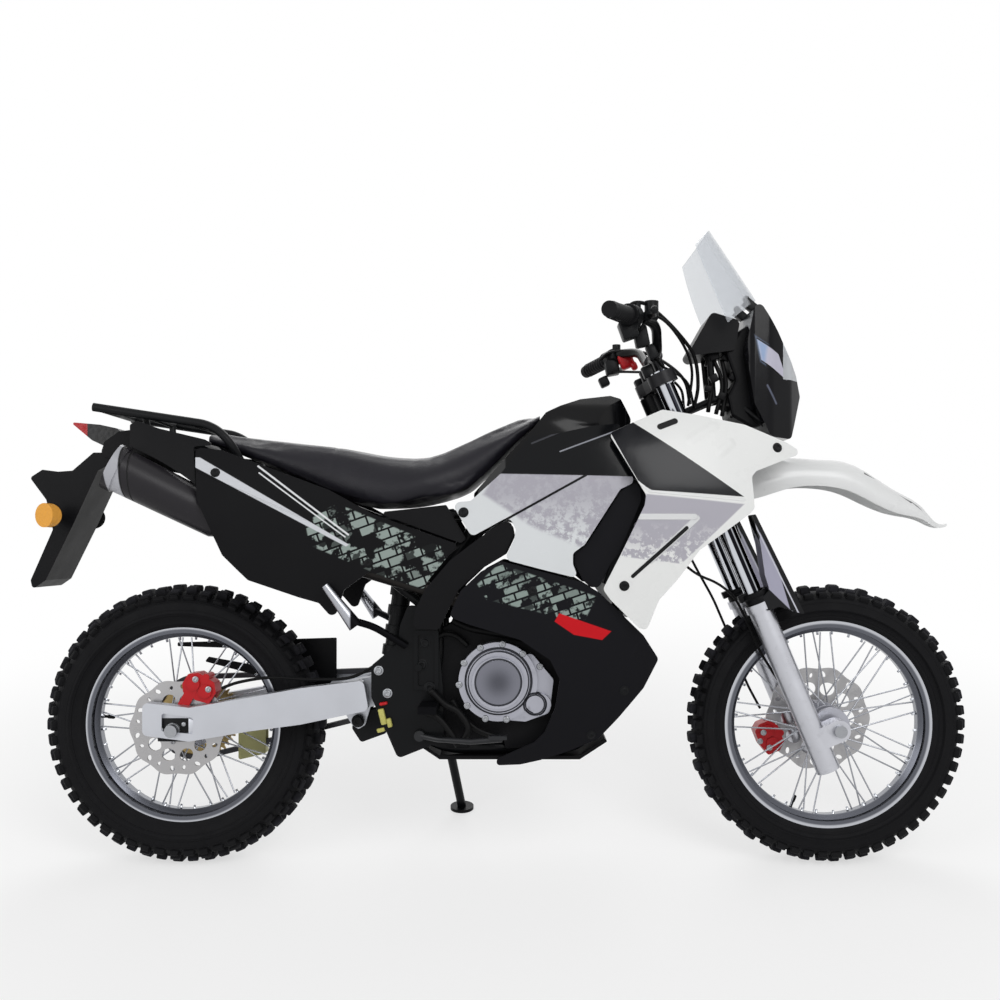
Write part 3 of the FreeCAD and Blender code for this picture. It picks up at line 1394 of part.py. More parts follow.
def chain():
    """Drive chain as two loops of side plates."""
    outer = Part.Face(chain_outline(s.chain_height / 2)).extrude(ACROSS * s.chain_width)
    inner = Part.Face(chain_outline(-s.chain_height / 2)).extrude(ACROSS * s.chain_width)
    groove_wall = s.sprocket_wall + 2 * s.seating_gap * 3
    groove = Part.Face(chain_outline(s.chain_height)).extrude(ACROSS * groove_wall)
    groove.translate(ACROSS * (s.chain_width - groove_wall) / 2)
    loop = outer.cut(inner).cut(groove)
    add("chain", Part.makeCompound(loop.Solids))


def chain_guide():
    """Guide under the left arm that the chain's lower run passes through."""
    drive, rear, big, small = chain_layout()
    middle = rear.y
    shell_shares = [(-0.432, -0.088), (-0.388, -0.075), (-0.388, -0.010), (-0.432, -0.016)]
    tunnel_shares = [(-0.46, -0.0827), (-0.36, -0.0503), (-0.36, 0.20), (-0.46, 0.20)]
    half = s.chain_width / 2 + s.clear_gap / 2
    shell = side_prism(shell_shares, middle - half - s.guard_wall, s.arm_inner + s.guard_wall,
                       s.clear_gap)
    tunnel = side_prism(tunnel_shares, middle - half, middle + half, s.clear_gap)
    arm_shares = [(-0.384, 0.065), (-0.384, -0.0012), (-0.474, -0.0212), (-0.474, 0.065)]
    arm = side_prism(arm_shares, s.arm_inner - s.seating_gap, s.arm_outer, s.seating_gap)
    body = shell.cut(tunnel).cut(arm)
    add("chain_guide", max(body.Solids, key=lambda solid: solid.Volume))


def rear_caliper():
    """Brake caliper above the right arm, on a bracket round the axle."""
    place_share = (0.48, 0.84)
    centre = rear_axle + Vector(place_share[0] * s.rear_disc_radius, 0, place_share[1] * s.rear_disc_radius)
    middle = -s.rear_hub_half - s.disc_wall / 2
    body = caliper_body()
    body.Placement = Placement(centre + ACROSS * (middle + s.caliper_inset),
                               Rotation(ACROSS, s.rake + s.cylinder_tilt / 2))
    slot = Part.makeCylinder(s.rear_disc_radius + s.clear_gap, s.disc_wall + 2 * s.clear_gap,
                             rear_axle + ACROSS * (middle - s.disc_wall / 2 - s.clear_gap), ACROSS)
    plate_from = -s.rear_hub_half - s.disc_wall - s.clear_gap
    plate_wall = s.arm_inner + plate_from - s.seating_gap
    hanger = rod(rear_axle + ACROSS * plate_from, rear_axle + ACROSS * (plate_from - plate_wall),
                 s.axle_lug_radius)
    bar = Part.makeBox((centre - rear_axle).Length, plate_wall, s.axle_lug_radius)
    bar.Placement = Placement(rear_axle + ACROSS * (plate_from - plate_wall),
                              Rotation(ACROSS, -math.degrees(math.atan2(place_share[1], place_share[0]))))
    hole = rod(rear_axle, rear_axle - ACROSS * s.arm_outer, s.axle_radius + s.clear_gap + s.running_fit)
    whole = body.cut(slot).fuse(hanger).fuse(bar).cut(hole)
    add("rear_caliper", max(whole.Solids, key=lambda solid: solid.Volume))


chain()
chain_guide()
rear_caliper()


# Tank and seat

def fuel_tank():
    """Tank between the covers, tunnelled for the frame's beams."""
    side_shares = [
        (-0.055, 0.455), (-0.010, 0.520), (0.040, 0.588), (0.061, 0.623), (0.083, 0.637),
        (0.114, 0.652), (0.160, 0.660), (0.175, 0.653), (0.193, 0.613), (0.181, 0.554),
        (0.134, 0.510), (0.040, 0.472), (-0.030, 0.448),
    ]
    plan_shares = [(-0.057, 0.60), (0.000, 0.86), (0.067, 1.0), (0.134, 0.95), (0.194, 0.44)]
    front_shares = [(1.0, 0.44), (1.0, 0.575), (0.78, 0.635), (0.40, 0.668)]
    body = side_prism(side_shares, -s.tank_half, s.tank_half, s.panel_corner)
    plan = plan_prism(plan_shares, s.tank_half, s.tyre_radius, s.tyre_radius + s.body_rise, s.tank_half / 3)
    front = front_prism(front_shares, s.tank_half, -s.wheelbase, s.wheelbase, s.tank_half / 3)
    body = body.common(plan).common(front)
    for side in (1, -1):
        body = body.cut(tube(beam_points(side), s.beam_radius + s.clear_gap / 2))
    add("fuel_tank", max(body.Solids, key=lambda solid: solid.Volume))


def seat():
    """Two-level seat cushion."""
    station_shares = [
        (-0.461, 0.596, 0.567, 0.45), (-0.429, 0.581, 0.556, 0.65), (-0.320, 0.562, 0.497, 0.80),
        (-0.250, 0.552, 0.456, 0.86), (-0.174, 0.534, 0.434, 0.98), (-0.118, 0.532, 0.449, 1.0),
        (-0.072, 0.556, 0.462, 0.90), (-0.027, 0.584, 0.512, 0.80), (0.013, 0.607, 0.565, 0.72),
        (0.054, 0.631, 0.614, 0.60),
    ]
    wires = []
    for x, top, low, width in eased(station_shares, 24):
        high = at((x, top))
        base = at((x, low))
        half = width * s.seat_half
        rise = high.z - base.z
        points = [
            Vector(high.x, -half * 0.94, base.z), Vector(high.x, half * 0.94, base.z),
            Vector(high.x, half, base.z + rise * 0.55), Vector(high.x, half * 0.72, base.z + rise * 0.93),
            Vector(high.x, 0, high.z), Vector(high.x, -half * 0.72, base.z + rise * 0.93),
            Vector(high.x, -half, base.z + rise * 0.55),
        ]
        top_curve = Part.BSplineCurve()
        top_curve.interpolate(points[1:] + points[:1])
        wires.append(Part.Wire([Part.LineSegment(points[0], points[1]).toShape(), top_curve.toShape()]))
    add("seat", Part.makeLoft(wires, True, True))


fuel_tank()
seat()


# Side panels: outline, depths from low to high and from back to front, bosses

def pair_of(name, panel):
    """Right and left panels as two nodes."""
    add(name + "_right", panel)
    add(name + "_left", mirrored(panel))


def together(name, *panels):
    """Right and left pieces in one node."""
    add(name, Part.makeCompound(list(panels) + [mirrored(panel) for panel in panels]))


def panels():
    """All outer panels."""
    radiator_side = s.radiator_inner + s.radiator_width
    shroud_shares = [
        (0.185, 0.594), (0.231, 0.621), (0.281, 0.611), (0.353, 0.593), (0.417, 0.559), (0.442, 0.540),
        (0.403, 0.521), (0.367, 0.503), (0.360, 0.492), (0.363, 0.432), (0.356, 0.422), (0.281, 0.353),
        (0.249, 0.297), (0.223, 0.259), (0.209, 0.212), (0.205, 0.202), (0.195, 0.205), (0.153, 0.259),
        (0.142, 0.279), (0.167, 0.344), (0.201, 0.437), (0.203, 0.456), (0.195, 0.473), (0.151, 0.574),
    ]
    shroud_depth_shares = [
        (0.98, 0.98, 0.92, 0.84), (1.06, 1.10, 1.02, 0.88), (1.08, 1.12, 0.98, 0.76),
        (0.80, 0.82, 0.74, 0.62),
    ]
    pair_of("shroud", skin(shroud_shares, shroud_depth_shares, s.panel_corner, [
        ((0.175, 0.325), radiator_side), ((0.194, 0.400), radiator_side)]))

    cover_shares = [
        (-0.080, 0.444), (-0.051, 0.447), (-0.007, 0.499), (0.037, 0.571), (0.074, 0.576), (0.131, 0.592),
        (0.182, 0.597), (0.151, 0.574), (0.190, 0.482), (0.168, 0.468), (0.116, 0.363), (0.099, 0.347),
        (0.099, 0.326), (0.107, 0.299), (0.051, 0.317), (-0.001, 0.335), (0.013, 0.372), (0.016, 0.391),
        (0.009, 0.410), (0.000, 0.413), (-0.049, 0.378),
    ]
    cover_depth_shares = [
        (0.90, 0.96, 0.97, 0.96), (0.80, 0.90, 0.96, 0.95), (0.66, 0.80, 0.90, 0.92),
        (0.60, 0.66, 0.72, 0.76),
    ]
    together("tank_cover_pair", skin(cover_shares, cover_depth_shares, s.panel_corner, [
        ((0.070, 0.545), s.tank_half), ((-0.040, 0.405), s.beam_half_spacing + s.beam_radius)]))

    fairing_shares = [
        (-0.006, 0.332), (0.112, 0.292), (0.138, 0.272), (0.203, 0.190), (0.226, 0.144), (0.204, 0.088),
        (0.167, 0.030), (0.138, -0.011), (0.095, -0.036), (0.051, -0.055), (0.022, -0.064),
        (-0.013, -0.066), (-0.013, -0.052), (0.043, -0.017), (0.058, 0.003), (0.073, 0.050),
        (0.080, 0.106), (0.066, 0.144), (0.022, 0.183), (-0.051, 0.211), (-0.082, 0.226), (-0.065, 0.275),
        (-0.035, 0.312),
    ]
    fairing_depth_shares = [
        (0.60, 0.62, 0.60, 0.52), (0.84, 0.90, 0.86, 0.74), (0.93, 0.97, 0.94, 0.84),
        (0.90, 0.94, 0.95, 0.90),
    ]
    fairing = skin(fairing_shares, fairing_depth_shares, s.panel_corner, [
        ((0.171, 0.205), s.down_tube_radius + s.stay_radius / 4),
        ((0.137, 0.000), s.cradle_half_spacing + s.cradle_radius)])

    frame_cover_shares = [
        (0.009, 0.408), (0.013, 0.381), (-0.001, 0.343), (-0.038, 0.314), (-0.068, 0.277),
        (-0.087, 0.229), (-0.097, 0.200), (-0.136, 0.204), (-0.132, 0.238), (-0.118, 0.277),
        (-0.081, 0.333), (-0.052, 0.362), (-0.007, 0.405),
    ]
    frame_cover_depth_shares = [(0.86, 0.88, 0.90), (0.84, 0.86, 0.88), (0.80, 0.82, 0.84)]
    frame_cover = skin(frame_cover_shares, frame_cover_depth_shares, s.panel_corner, [
        ((-0.118, 0.225), s.plate_inner + s.plate_wall)])

    rear_shares = [
        (-0.460, 0.551), (-0.422, 0.546), (-0.260, 0.468), (-0.194, 0.421), (-0.066, 0.362),
        (-0.083, 0.343), (-0.113, 0.295), (-0.120, 0.276), (-0.200, 0.311), (-0.237, 0.276),
        (-0.252, 0.218), (-0.274, 0.251), (-0.304, 0.262), (-0.378, 0.295), (-0.393, 0.314),
        (-0.415, 0.343), (-0.452, 0.449),
    ]
    rear_depth_shares = [
        (0.80, 0.80, 0.82, 0.84), (0.89, 0.84, 0.84, 0.84), (0.89, 0.80, 0.80, 0.80),
        (0.70, 0.64, 0.68, 0.72),
    ]
    together("rear_panel_pair", skin(rear_shares, rear_depth_shares, s.panel_corner, [
        ((-0.264, 0.446), s.rail_half_spacing + s.rail_radius),
        ((-0.250, 0.375), s.rail_half_spacing + s.rail_radius)]))

    tail_shares = [
        (-0.563, 0.597), (-0.553, 0.605), (-0.518, 0.589), (-0.448, 0.567), (-0.432, 0.556),
        (-0.464, 0.553), (-0.456, 0.451), (-0.443, 0.420), (-0.471, 0.460), (-0.561, 0.553),
    ]
    tail_depth_shares = [(0.78, 0.79, 0.80), (0.68, 0.72, 0.74), (0.58, 0.60, 0.62)]
    tail_panel = skin(tail_shares, tail_depth_shares, s.panel_corner / 2, [
        ((-0.505, 0.550), s.rail_half_spacing * 0.93 + s.rail_radius)])
    trimmed = tail_panel.cut(silencer_room())
    together("tail_panel_pair", max(trimmed.Solids, key=lambda solid: solid.Volume))

    side_shares = [(-0.192, 0.425), (-0.088, 0.440), (-0.058, 0.374), (-0.066, 0.366)]
    side_depth_shares = [(0.78, 0.76, 0.74), (0.74, 0.72, 0.70), (0.70, 0.69, 0.68)]
    side_cover = skin(side_shares, side_depth_shares, s.clear_gap, [
        ((-0.080, 0.421), s.rail_half_spacing + s.rail_radius)])
    together("side_cover_pairs", side_cover, frame_cover)

    louvre_shares = [
        (0.190, 0.482), (0.197, 0.471), (0.199, 0.448), (0.166, 0.345), (0.154, 0.326), (0.138, 0.282),
        (0.125, 0.282), (0.114, 0.295), (0.102, 0.326), (0.102, 0.346), (0.119, 0.362), (0.170, 0.466),
    ]
    louvre_depth_shares = [(0.88, 0.90, 0.92), (0.88, 0.90, 0.93), (0.86, 0.88, 0.92)]
    louvre = skin(louvre_shares, louvre_depth_shares, s.panel_corner, [((0.163, 0.365), radiator_side)])
    together("lower_fairing_pair", fairing, louvre)


panels()


# Tail

def tail():
    """Tail core, lamp, rear mudguard, indicators, inner fender and rack."""
    core_shares = [
        (-0.400, 0.520), (-0.458, 0.558), (-0.470, 0.572), (-0.563, 0.592), (-0.589, 0.588), (-0.612, 0.567),
        (-0.619, 0.540), (-0.535, 0.514), (-0.420, 0.484),
    ]
    half = s.rail_half_spacing * 0.92 - s.rail_radius - s.seating_gap
    core = side_prism(core_shares, -half, half, s.panel_corner)
    for index in (3, 4):
        core = core.cut(rod(rail_points(1)[index], rail_points(-1)[index], s.rail_radius * 0.8 + s.seating_gap))
    core = max(core.Solids, key=lambda solid: solid.Volume)

    lamp_shares = [(-0.664, 0.606), (-0.631, 0.570), (-0.608, 0.556), (-0.580, 0.580), (-0.594, 0.594),
                   (-0.619, 0.601)]
    lamp = side_prism(lamp_shares, -half, half, s.guard_wall)
    behind = side_prism(core_shares, -s.tail_half * 2, s.tail_half * 2, s.panel_corner)
    behind.translate(Vector(-s.seating_gap, 0, s.seating_gap))
    lamp = lamp.cut(behind)
    add("tail_light", max(lamp.Solids, key=lambda solid: solid.Volume))

    hanger_shares = [
        (-0.727, 0.496), (-0.708, 0.512), (-0.684, 0.508), (-0.662, 0.510), (-0.630, 0.546),
        (-0.600, 0.546), (-0.600, 0.526), (-0.623, 0.510), (-0.662, 0.400), (-0.703, 0.292),
        (-0.723, 0.274), (-0.726, 0.292), (-0.692, 0.393), (-0.702, 0.452),
    ]
    hanger = side_prism(hanger_shares, -s.hanger_half, s.hanger_half, s.panel_corner / 2)
    above = side_prism(core_shares, -s.tail_half * 2, s.tail_half * 2, s.panel_corner)
    above.translate(Vector(-s.seating_gap, 0, -s.seating_gap))
    hanger = hanger.cut(above).cut(behind)
    face_top = at((-0.692, 0.393))
    face_low = at((-0.726, 0.292))
    outward = ACROSS.cross(face_top - face_low).normalize() * -1
    for side in (1, -1):
        mouth = (face_top + face_low) * 0.5 + ACROSS * side * s.plate_hole_spread
        hanger = hanger.cut(rod(mouth - outward * s.plate_hole_depth, mouth + outward * s.cut_over,
                                s.plate_hole_radius))
    add("plate_hanger", max(hanger.Solids, key=lambda solid: solid.Volume))

    lamps = []
    mount_half = s.hanger_half + s.seating_gap
    mount_cut = side_prism(hanger_shares, -mount_half, mount_half, s.panel_corner / 2)
    place_share = (-0.686, 0.420)
    for side in (1, -1):
        out = Vector(-math.sin(math.radians(s.indicator_turn)), side * math.cos(math.radians(s.indicator_turn)), 0)
        middle = at(place_share, side * s.indicator_spread)
        disc = rod(middle - out * s.indicator_depth, middle, s.indicator_radius)
        stalk = rod(at(place_share, side * (s.hanger_half - s.stay_radius)),
                    middle - out * s.indicator_depth / 2, s.stay_radius)
        lamps.append(fused([disc, stalk]).cut(mount_cut).Solids[0])
    add("rear_indicators", Part.makeCompound(lamps))

    arch_shares = [(-0.255, 0.330), (-0.300, 0.395), (-0.400, 0.445), (-0.500, 0.485), (-0.585, 0.523),
                   (-0.585, 0.517), (-0.500, 0.480), (-0.402, 0.440), (-0.303, 0.390), (-0.259, 0.327)]
    arch = side_prism(arch_shares, -s.inner_fender_half, s.inner_fender_half, s.fender_wall / 2)
    arch = arch.cut(side_prism(core_shares, -half - s.seating_gap, half + s.seating_gap, s.panel_corner))
    for side in (1, -1):
        arch = arch.cut(tube(rail_points(side), s.rail_radius + s.seating_gap))
    arch = arch.cut(silencer_room())
    guard_shares = [(-0.530, 0.150), (-0.530, 0.158), (-0.274, 0.168), (-0.274, 0.055), (-0.306, 0.055),
                    (-0.336, 0.066), (-0.486, 0.118), (-0.480, 0.128), (-0.345, 0.096), (-0.345, 0.142)]
    guard_in = s.rear_tyre_half + 1.2 * s.clear_gap
    guard = side_prism(guard_shares, guard_in, guard_in + s.guard_wall, s.guard_wall)
    foot = rod(at((-0.285, 0.070), guard_in), at((-0.285, 0.070), s.arm_inner - s.seating_gap), s.boss_radius)
    add("tail_core", Part.makeCompound([core, max(arch.Solids, key=lambda solid: solid.Volume), guard.fuse(foot)]))


def rack():
    """Luggage rack: two bent rails, cross bars and legs."""
    rail_shares = [(-0.617, 0.631), (-0.449, 0.598), (-0.430, 0.586), (-0.412, 0.562)]
    pieces = []
    for side in (1, -1):
        points = [at(share, side * s.rack_half_spacing) for share in rail_shares]
        points.append(at((-0.398, 0.520), side * s.rail_half_spacing))
        pieces.append(tube(points, s.rack_radius))
        leg_from = at((-0.545, 0.617), side * s.rail_half_spacing)
        leg_to = at((-0.540, 0.560), side * s.rail_half_spacing * 0.92)
        pieces.append(rod(leg_from, leg_to, s.rack_radius * 0.8))
    for x, z in ((-0.612, 0.630), (-0.545, 0.617), (-0.475, 0.603)):
        pieces.append(rod(at((x, z), -s.rack_half_spacing), at((x, z), s.rack_half_spacing),
                          s.rack_radius * 0.8))
    shape = fused(pieces)
    for side in (1, -1):
        shape = shape.cut(tube(rail_points(side), s.rail_radius + s.seating_gap))
    add("luggage_rack", max(shape.Solids, key=lambda solid: solid.Volume))


tail()
rack()


# Front fairing

def nose():
    """Headlight fairing, lamp, instrument, stay and windscreen."""
    side_shares = [
        (0.378, 0.851), (0.413, 0.782), (0.447, 0.701), (0.456, 0.661), (0.443, 0.601), (0.436, 0.572),
        (0.401, 0.575), (0.375, 0.641), (0.363, 0.748),
    ]
    plan_shares = [(0.358, 0.92), (0.400, 0.90), (0.436, 0.60), (0.460, 0.20)]
    lamp_shares = [(0.381, 0.792), (0.500, 0.792), (0.500, 0.690), (0.412, 0.690)]
    low = s.tyre_radius
    high = s.tyre_radius + s.body_rise
    whole = side_prism(side_shares, -s.nose_half, s.nose_half, s.panel_corner)
    whole = whole.common(plan_prism(plan_shares, s.nose_half, low, high, s.nose_half / 3))
    recess = side_prism(lamp_shares, -s.nose_half * 0.72, s.nose_half * 0.72, s.clear_gap)
    lens_cut = side_prism(lamp_shares, -s.nose_half * 0.72 + s.seating_gap,
                          s.nose_half * 0.72 - s.seating_gap, s.clear_gap)
    shell = whole.cut(recess)
    lens = whole.common(lens_cut)
    add("headlight_fairing", max(shell.Solids, key=lambda solid: solid.Volume))
    add("headlight", max(lens.Solids, key=lambda solid: solid.Volume))

    dash_shares = [(0.282, 0.750), (0.315, 0.826), (0.358, 0.809), (0.351, 0.750), (0.289, 0.740)]
    add("instrument", side_prism(dash_shares, -s.dash_half, s.dash_half, s.panel_corner))

    pieces = []
    head_top = (s.lower_clamp_base + s.lower_clamp_height + s.upper_clamp_base) / 2
    for side in (1, -1):
        start = steer(s.stem_radius / 2, side * s.stay_radius * 2, head_top)
        knee = at((0.321, 0.655), side * s.stay_radius * 4)
        back = at((0.385, 0.672), side * s.stay_radius * 5)
        pieces.append(tube([start, knee, back], s.stay_radius, s.tube_bend))
        pieces.append(rod(knee, at((0.315, 0.7435), side * s.stay_radius * 5), s.stay_radius))
        ear = at((0.410, 0.585), side * s.nose_half * 0.70)
        pieces.append(rod(at((0.345, 0.661), side * s.stay_radius * 5), ear, s.stay_radius))
    pieces.append(rod(at((0.321, 0.655), -s.stay_radius * 4), at((0.321, 0.655), s.stay_radius * 4), s.stay_radius))
    stay = fused(pieces)
    stay = stay.cut(rod(steer(0, 0, s.lower_clamp_base), steer(0, 0, s.upper_clamp_base),
                        s.stem_radius + s.running_fit + s.head_tube_wall + s.seating_gap))
    front = whole.copy()
    front.translate(-FORWARD * s.seating_gap)
    stay = stay.cut(front)
    add("fairing_stay", max(stay.Solids, key=lambda solid: solid.Volume))
    return whole


def windscreen():
    """Tall curved screen, its edges swept back."""
    rows_shares = [  # centre x, centre z, edge x, edge z, width
        (0.388, 0.858, 0.332, 0.795, 1.00), (0.352, 0.928, 0.306, 0.875, 0.97),
        (0.315, 1.000, 0.286, 0.952, 0.80),
    ]
    columns = (-1.0, -0.5, 0.0, 0.5, 1.0)
    grid = []
    for centre_x, centre_z, edge_x, edge_z, width in rows_shares:
        line = []
        for column in columns:
            swept = column * column
            x = centre_x + (edge_x - centre_x) * swept
            z = centre_z + (edge_z - centre_z) * swept
            line.append(at((x, z), column * width * s.screen_half))
        grid.append(line)
    surface = Part.BSplineSurface()
    surface.interpolate(grid)
    along = at((rows_shares[2][0], rows_shares[2][1])) - at((rows_shares[0][0], rows_shares[0][1]))
    ahead = ACROSS.cross(along).normalize()
    add("windscreen", surface.toShape().extrude(ahead * s.screen_wall))


nose()
windscreen()


# Pegs, pedals and lower guards

def pegs():
    """Rider pegs on the pivot plates, passenger pegs on their own brackets."""
    outer = s.plate_inner + s.plate_wall + s.seating_gap
    peg_share = (-0.112, 0.052)
    rider = []
    for side in (1, -1):
        root = at(peg_share, side * outer)
        corner = root + Vector(-s.peg_half_width, 0 if side > 0 else -s.peg_length, -s.peg_height / 2)
        block = Part.makeBox(2 * s.peg_half_width, s.peg_length, s.peg_height, corner)
        tooth_pitch = s.peg_height
        notches = []
        for index in range(int(s.peg_length / tooth_pitch)):
            across = corner.y + tooth_pitch * (index + 0.5)
            notches.append(Part.makeBox(2 * s.peg_half_width, tooth_pitch / 2, s.peg_height / 2,
                                        Vector(corner.x, across, corner.z + s.peg_height / 2)))
        rider.append(block.cut(Part.makeCompound(notches)))
    passenger = []
    for side in (1, -1):
        bracket = tube([at((-0.148, 0.166), side * (outer + s.stay_radius)),
                        at((-0.195, 0.205), side * (outer + 3 * s.stay_radius)),
                        at((-0.222, 0.218), side * (s.panel_half - 3 * s.stay_radius))], s.stay_radius)
        peg_from = at((-0.218, 0.208), side * (s.panel_half - 2 * s.stay_radius))
        peg_to = at((-0.262, 0.286), side * (s.panel_half - s.stay_radius))
        peg = Part.makeCone(s.stay_radius * 2, s.stay_radius, (peg_to - peg_from).Length, peg_from, peg_to - peg_from)
        passenger.append(fused([bracket, peg]))
    add("foot_pegs", Part.makeCompound(rider + passenger))


def foot_controls():
    """Brake pedal on the right, gear lever on the left."""
    outer = s.plate_inner + s.plate_wall + s.seating_gap
    pedal_shares = [(-0.128, -0.008, 0.0), (-0.100, -0.012, 0.18), (-0.050, -0.014, 0.34),
                    (-0.004, -0.008, 0.42)]
    reach = s.panel_half * 0.55
    points = [at((x, z), -(outer + s.stay_radius + y * reach)) for x, z, y in pedal_shares]
    arm = tube(points, s.stay_radius * 0.8, s.stay_radius * 4)
    pad = Part.makeBox(s.peg_half_width * 2, s.peg_half_width, s.peg_height / 2,
                       points[-1] + Vector(-s.peg_half_width * 1.5, -s.peg_half_width / 2, 0))
    hub = rod(at((-0.128, -0.008), -outer), at((-0.128, -0.008), -outer - 2 * s.stay_radius), s.stay_radius * 1.5)
    pedal = fused([arm, pad, hub])

    shaft_from = s.case_half + s.generator_reach + s.seating_gap * 2
    lever_shares = [(-0.050, 0.055, 0.0), (0.000, 0.040, 0.30), (0.042, 0.036, 0.36)]
    points = [at((x, z), shaft_from + s.stay_radius + y * reach) for x, z, y in lever_shares]
    arm = tube(points, s.stay_radius * 0.7, s.stay_radius * 4)
    toe = rod(points[-1], points[-1] + ACROSS * s.peg_half_width * 1.5, s.stay_radius)
    hub = rod(at((-0.050, 0.055), shaft_from), at((-0.050, 0.055), shaft_from + 2 * s.stay_radius), s.stay_radius * 1.3)
    lever = fused([arm, toe, hub])
    add("foot_controls", Part.makeCompound([pedal, lever]))


def skid_plate():
    """Skid plate under the cradle tubes."""
    skid_shares = [(-0.128, -0.026), (-0.100, -0.0525), (0.112, -0.0525), (0.150, -0.018),
                   (0.154, -0.024), (0.112, -0.0595), (-0.100, -0.0595), (-0.134, -0.030)]
    add("skid_plate", side_prism(skid_shares, -s.skid_half, s.skid_half, s.guard_wall))


def shock():
    """Rear shock with its link plates under the swingarm."""
    top = at((-0.150, 0.400))
    low = at((-0.190, 0.020))
    down = (low - top).normalize()
    body = Part.makeCylinder(s.pivot_tube_radius, (low - top).Length * 0.85, top, down)
    eye = rod(low - ACROSS * s.pivot_tube_radius, low + ACROSS * s.pivot_tube_radius, s.down_tube_radius)
    stem = rod(top, low, s.stand_radius)
    coil_count = 8
    pieces = [body, eye, stem]
    step = (low - top).Length * 0.85 / coil_count
    for index in range(1, coil_count):
        pieces.append(Part.makeCylinder(s.silencer_radius * 0.54, step / 2, top + down * step * index, down))
    link_shares = [(-0.238, 0.022), (-0.180, 0.034), (-0.174, 0.010), (-0.188, -0.020), (-0.226, -0.038),
                   (-0.240, -0.010)]
    for side in (1, -1):
        pieces.append(side_prism(link_shares, side * s.riser_radius, side * s.pivot_tube_radius, s.stay_radius))
    spacer = rod(at((-0.215, -0.020), -s.pivot_tube_radius), at((-0.215, -0.020), s.pivot_tube_radius), s.stay_radius)
    bolt = rod(link_place() - ACROSS * s.panel_half, link_place() + ACROSS * s.panel_half,
               s.pivot_bolt_radius + s.running_fit)
    shape = fused(pieces + [spacer]).cut(bolt)
    add("shock_absorber", max(shape.Solids, key=lambda solid: solid.Volume))


pegs()
foot_controls()
skid_plate()
shock()


# Finish: recompute, test and write

doc.recompute()
for item in doc.Objects:
    if any(flag in ("Invalid", "Error") for flag in item.State):
        raise RuntimeError(f"{item.Name} failed: {item.State}")
for item in nodes:
    if item.Shape.isNull() or not item.Shape.isValid():
        raise RuntimeError(f"{item.Label} has no valid shape")

os.makedirs("parts", exist_ok=True)
for item in nodes:
    item.Shape.exportStep(f"parts/{item.Label}.step")
box = FreeCAD.BoundBox()
for item in nodes:
    box.add(item.Shape.optimalBoundingBox(False))
print(len(nodes), "nodes written, box centre", round(box.Center.x, 1), round(box.Center.y, 1))
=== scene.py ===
"""Looks of the dual sport motorcycle: materials, soft seat, knobby tyres, fasteners, light and camera.

Points are given in millimetres of the upright machine (X forward, Y to its left, Z up)
and put in the leaned frame by place().
"""
import json
import math
import random

import bpy
import bmesh
from mathutils import Matrix, Vector, noise
from mathutils.bvhtree import BVHTree


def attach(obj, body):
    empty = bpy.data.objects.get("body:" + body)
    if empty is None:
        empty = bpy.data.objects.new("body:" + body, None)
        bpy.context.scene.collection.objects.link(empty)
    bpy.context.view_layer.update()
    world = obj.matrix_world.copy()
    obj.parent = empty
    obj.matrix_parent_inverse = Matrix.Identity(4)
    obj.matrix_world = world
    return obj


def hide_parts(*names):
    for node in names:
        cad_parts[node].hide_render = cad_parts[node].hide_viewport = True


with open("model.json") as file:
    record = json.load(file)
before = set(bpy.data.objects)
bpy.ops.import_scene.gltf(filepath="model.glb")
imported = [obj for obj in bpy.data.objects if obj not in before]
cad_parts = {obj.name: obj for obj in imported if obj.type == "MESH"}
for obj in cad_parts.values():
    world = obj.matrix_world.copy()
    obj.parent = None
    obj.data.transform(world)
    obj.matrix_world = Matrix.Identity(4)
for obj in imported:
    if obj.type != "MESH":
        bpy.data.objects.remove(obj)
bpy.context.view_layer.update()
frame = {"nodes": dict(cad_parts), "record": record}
nodes = frame["nodes"]

LEAN = math.radians(-11.3)
SHIFT = Vector((0.00665, -0.2376, 0.001357))
TURN = Matrix.Rotation(LEAN, 3, "X")
WHEEL = 324.0
HALF_BASE = 747.5
AXLES = {"front": Vector((HALF_BASE, 0.0, WHEEL)), "rear": Vector((-HALF_BASE, 0.0, WHEEL))}
RIMS = {"front": 240.5, "rear": 228.0}
RAKE = math.radians(23)
RIGHT, LEFT = -1, 1
BOTH = (RIGHT, LEFT)
MM = 0.001
# The photograph's view: the camera's place along and above, its distance, and the pixels of its middle and of its lens
EYE_X, EYE_Z, EYE_FAR = 41.5, 744.7, 2600.0
MIDDLE_U, MIDDLE_V, LENS = 524.0, 543.0, 1107.0


def place(x, y, z):
    """Point of the upright machine in millimetres, as a world point."""
    return TURN @ (Vector((x, y, z)) * MM) + SHIFT


def aim(x, y, z):
    """Direction of the upright machine, as a world direction."""
    return (TURN @ Vector((x, y, z))).normalized()


def added(name, data):
    """New object in the scene."""
    obj = bpy.data.objects.new(name, data)
    bpy.context.scene.collection.objects.link(obj)
    return obj


def srgb(text):
    """Linear colour of a hexadecimal sRGB one."""
    values = [int(text[i:i + 2], 16) / 255 for i in (0, 2, 4)]
    return tuple(v / 12.92 if v < 0.04045 else ((v + 0.055) / 1.055) ** 2.4 for v in values) + (1.0,)


# Materials

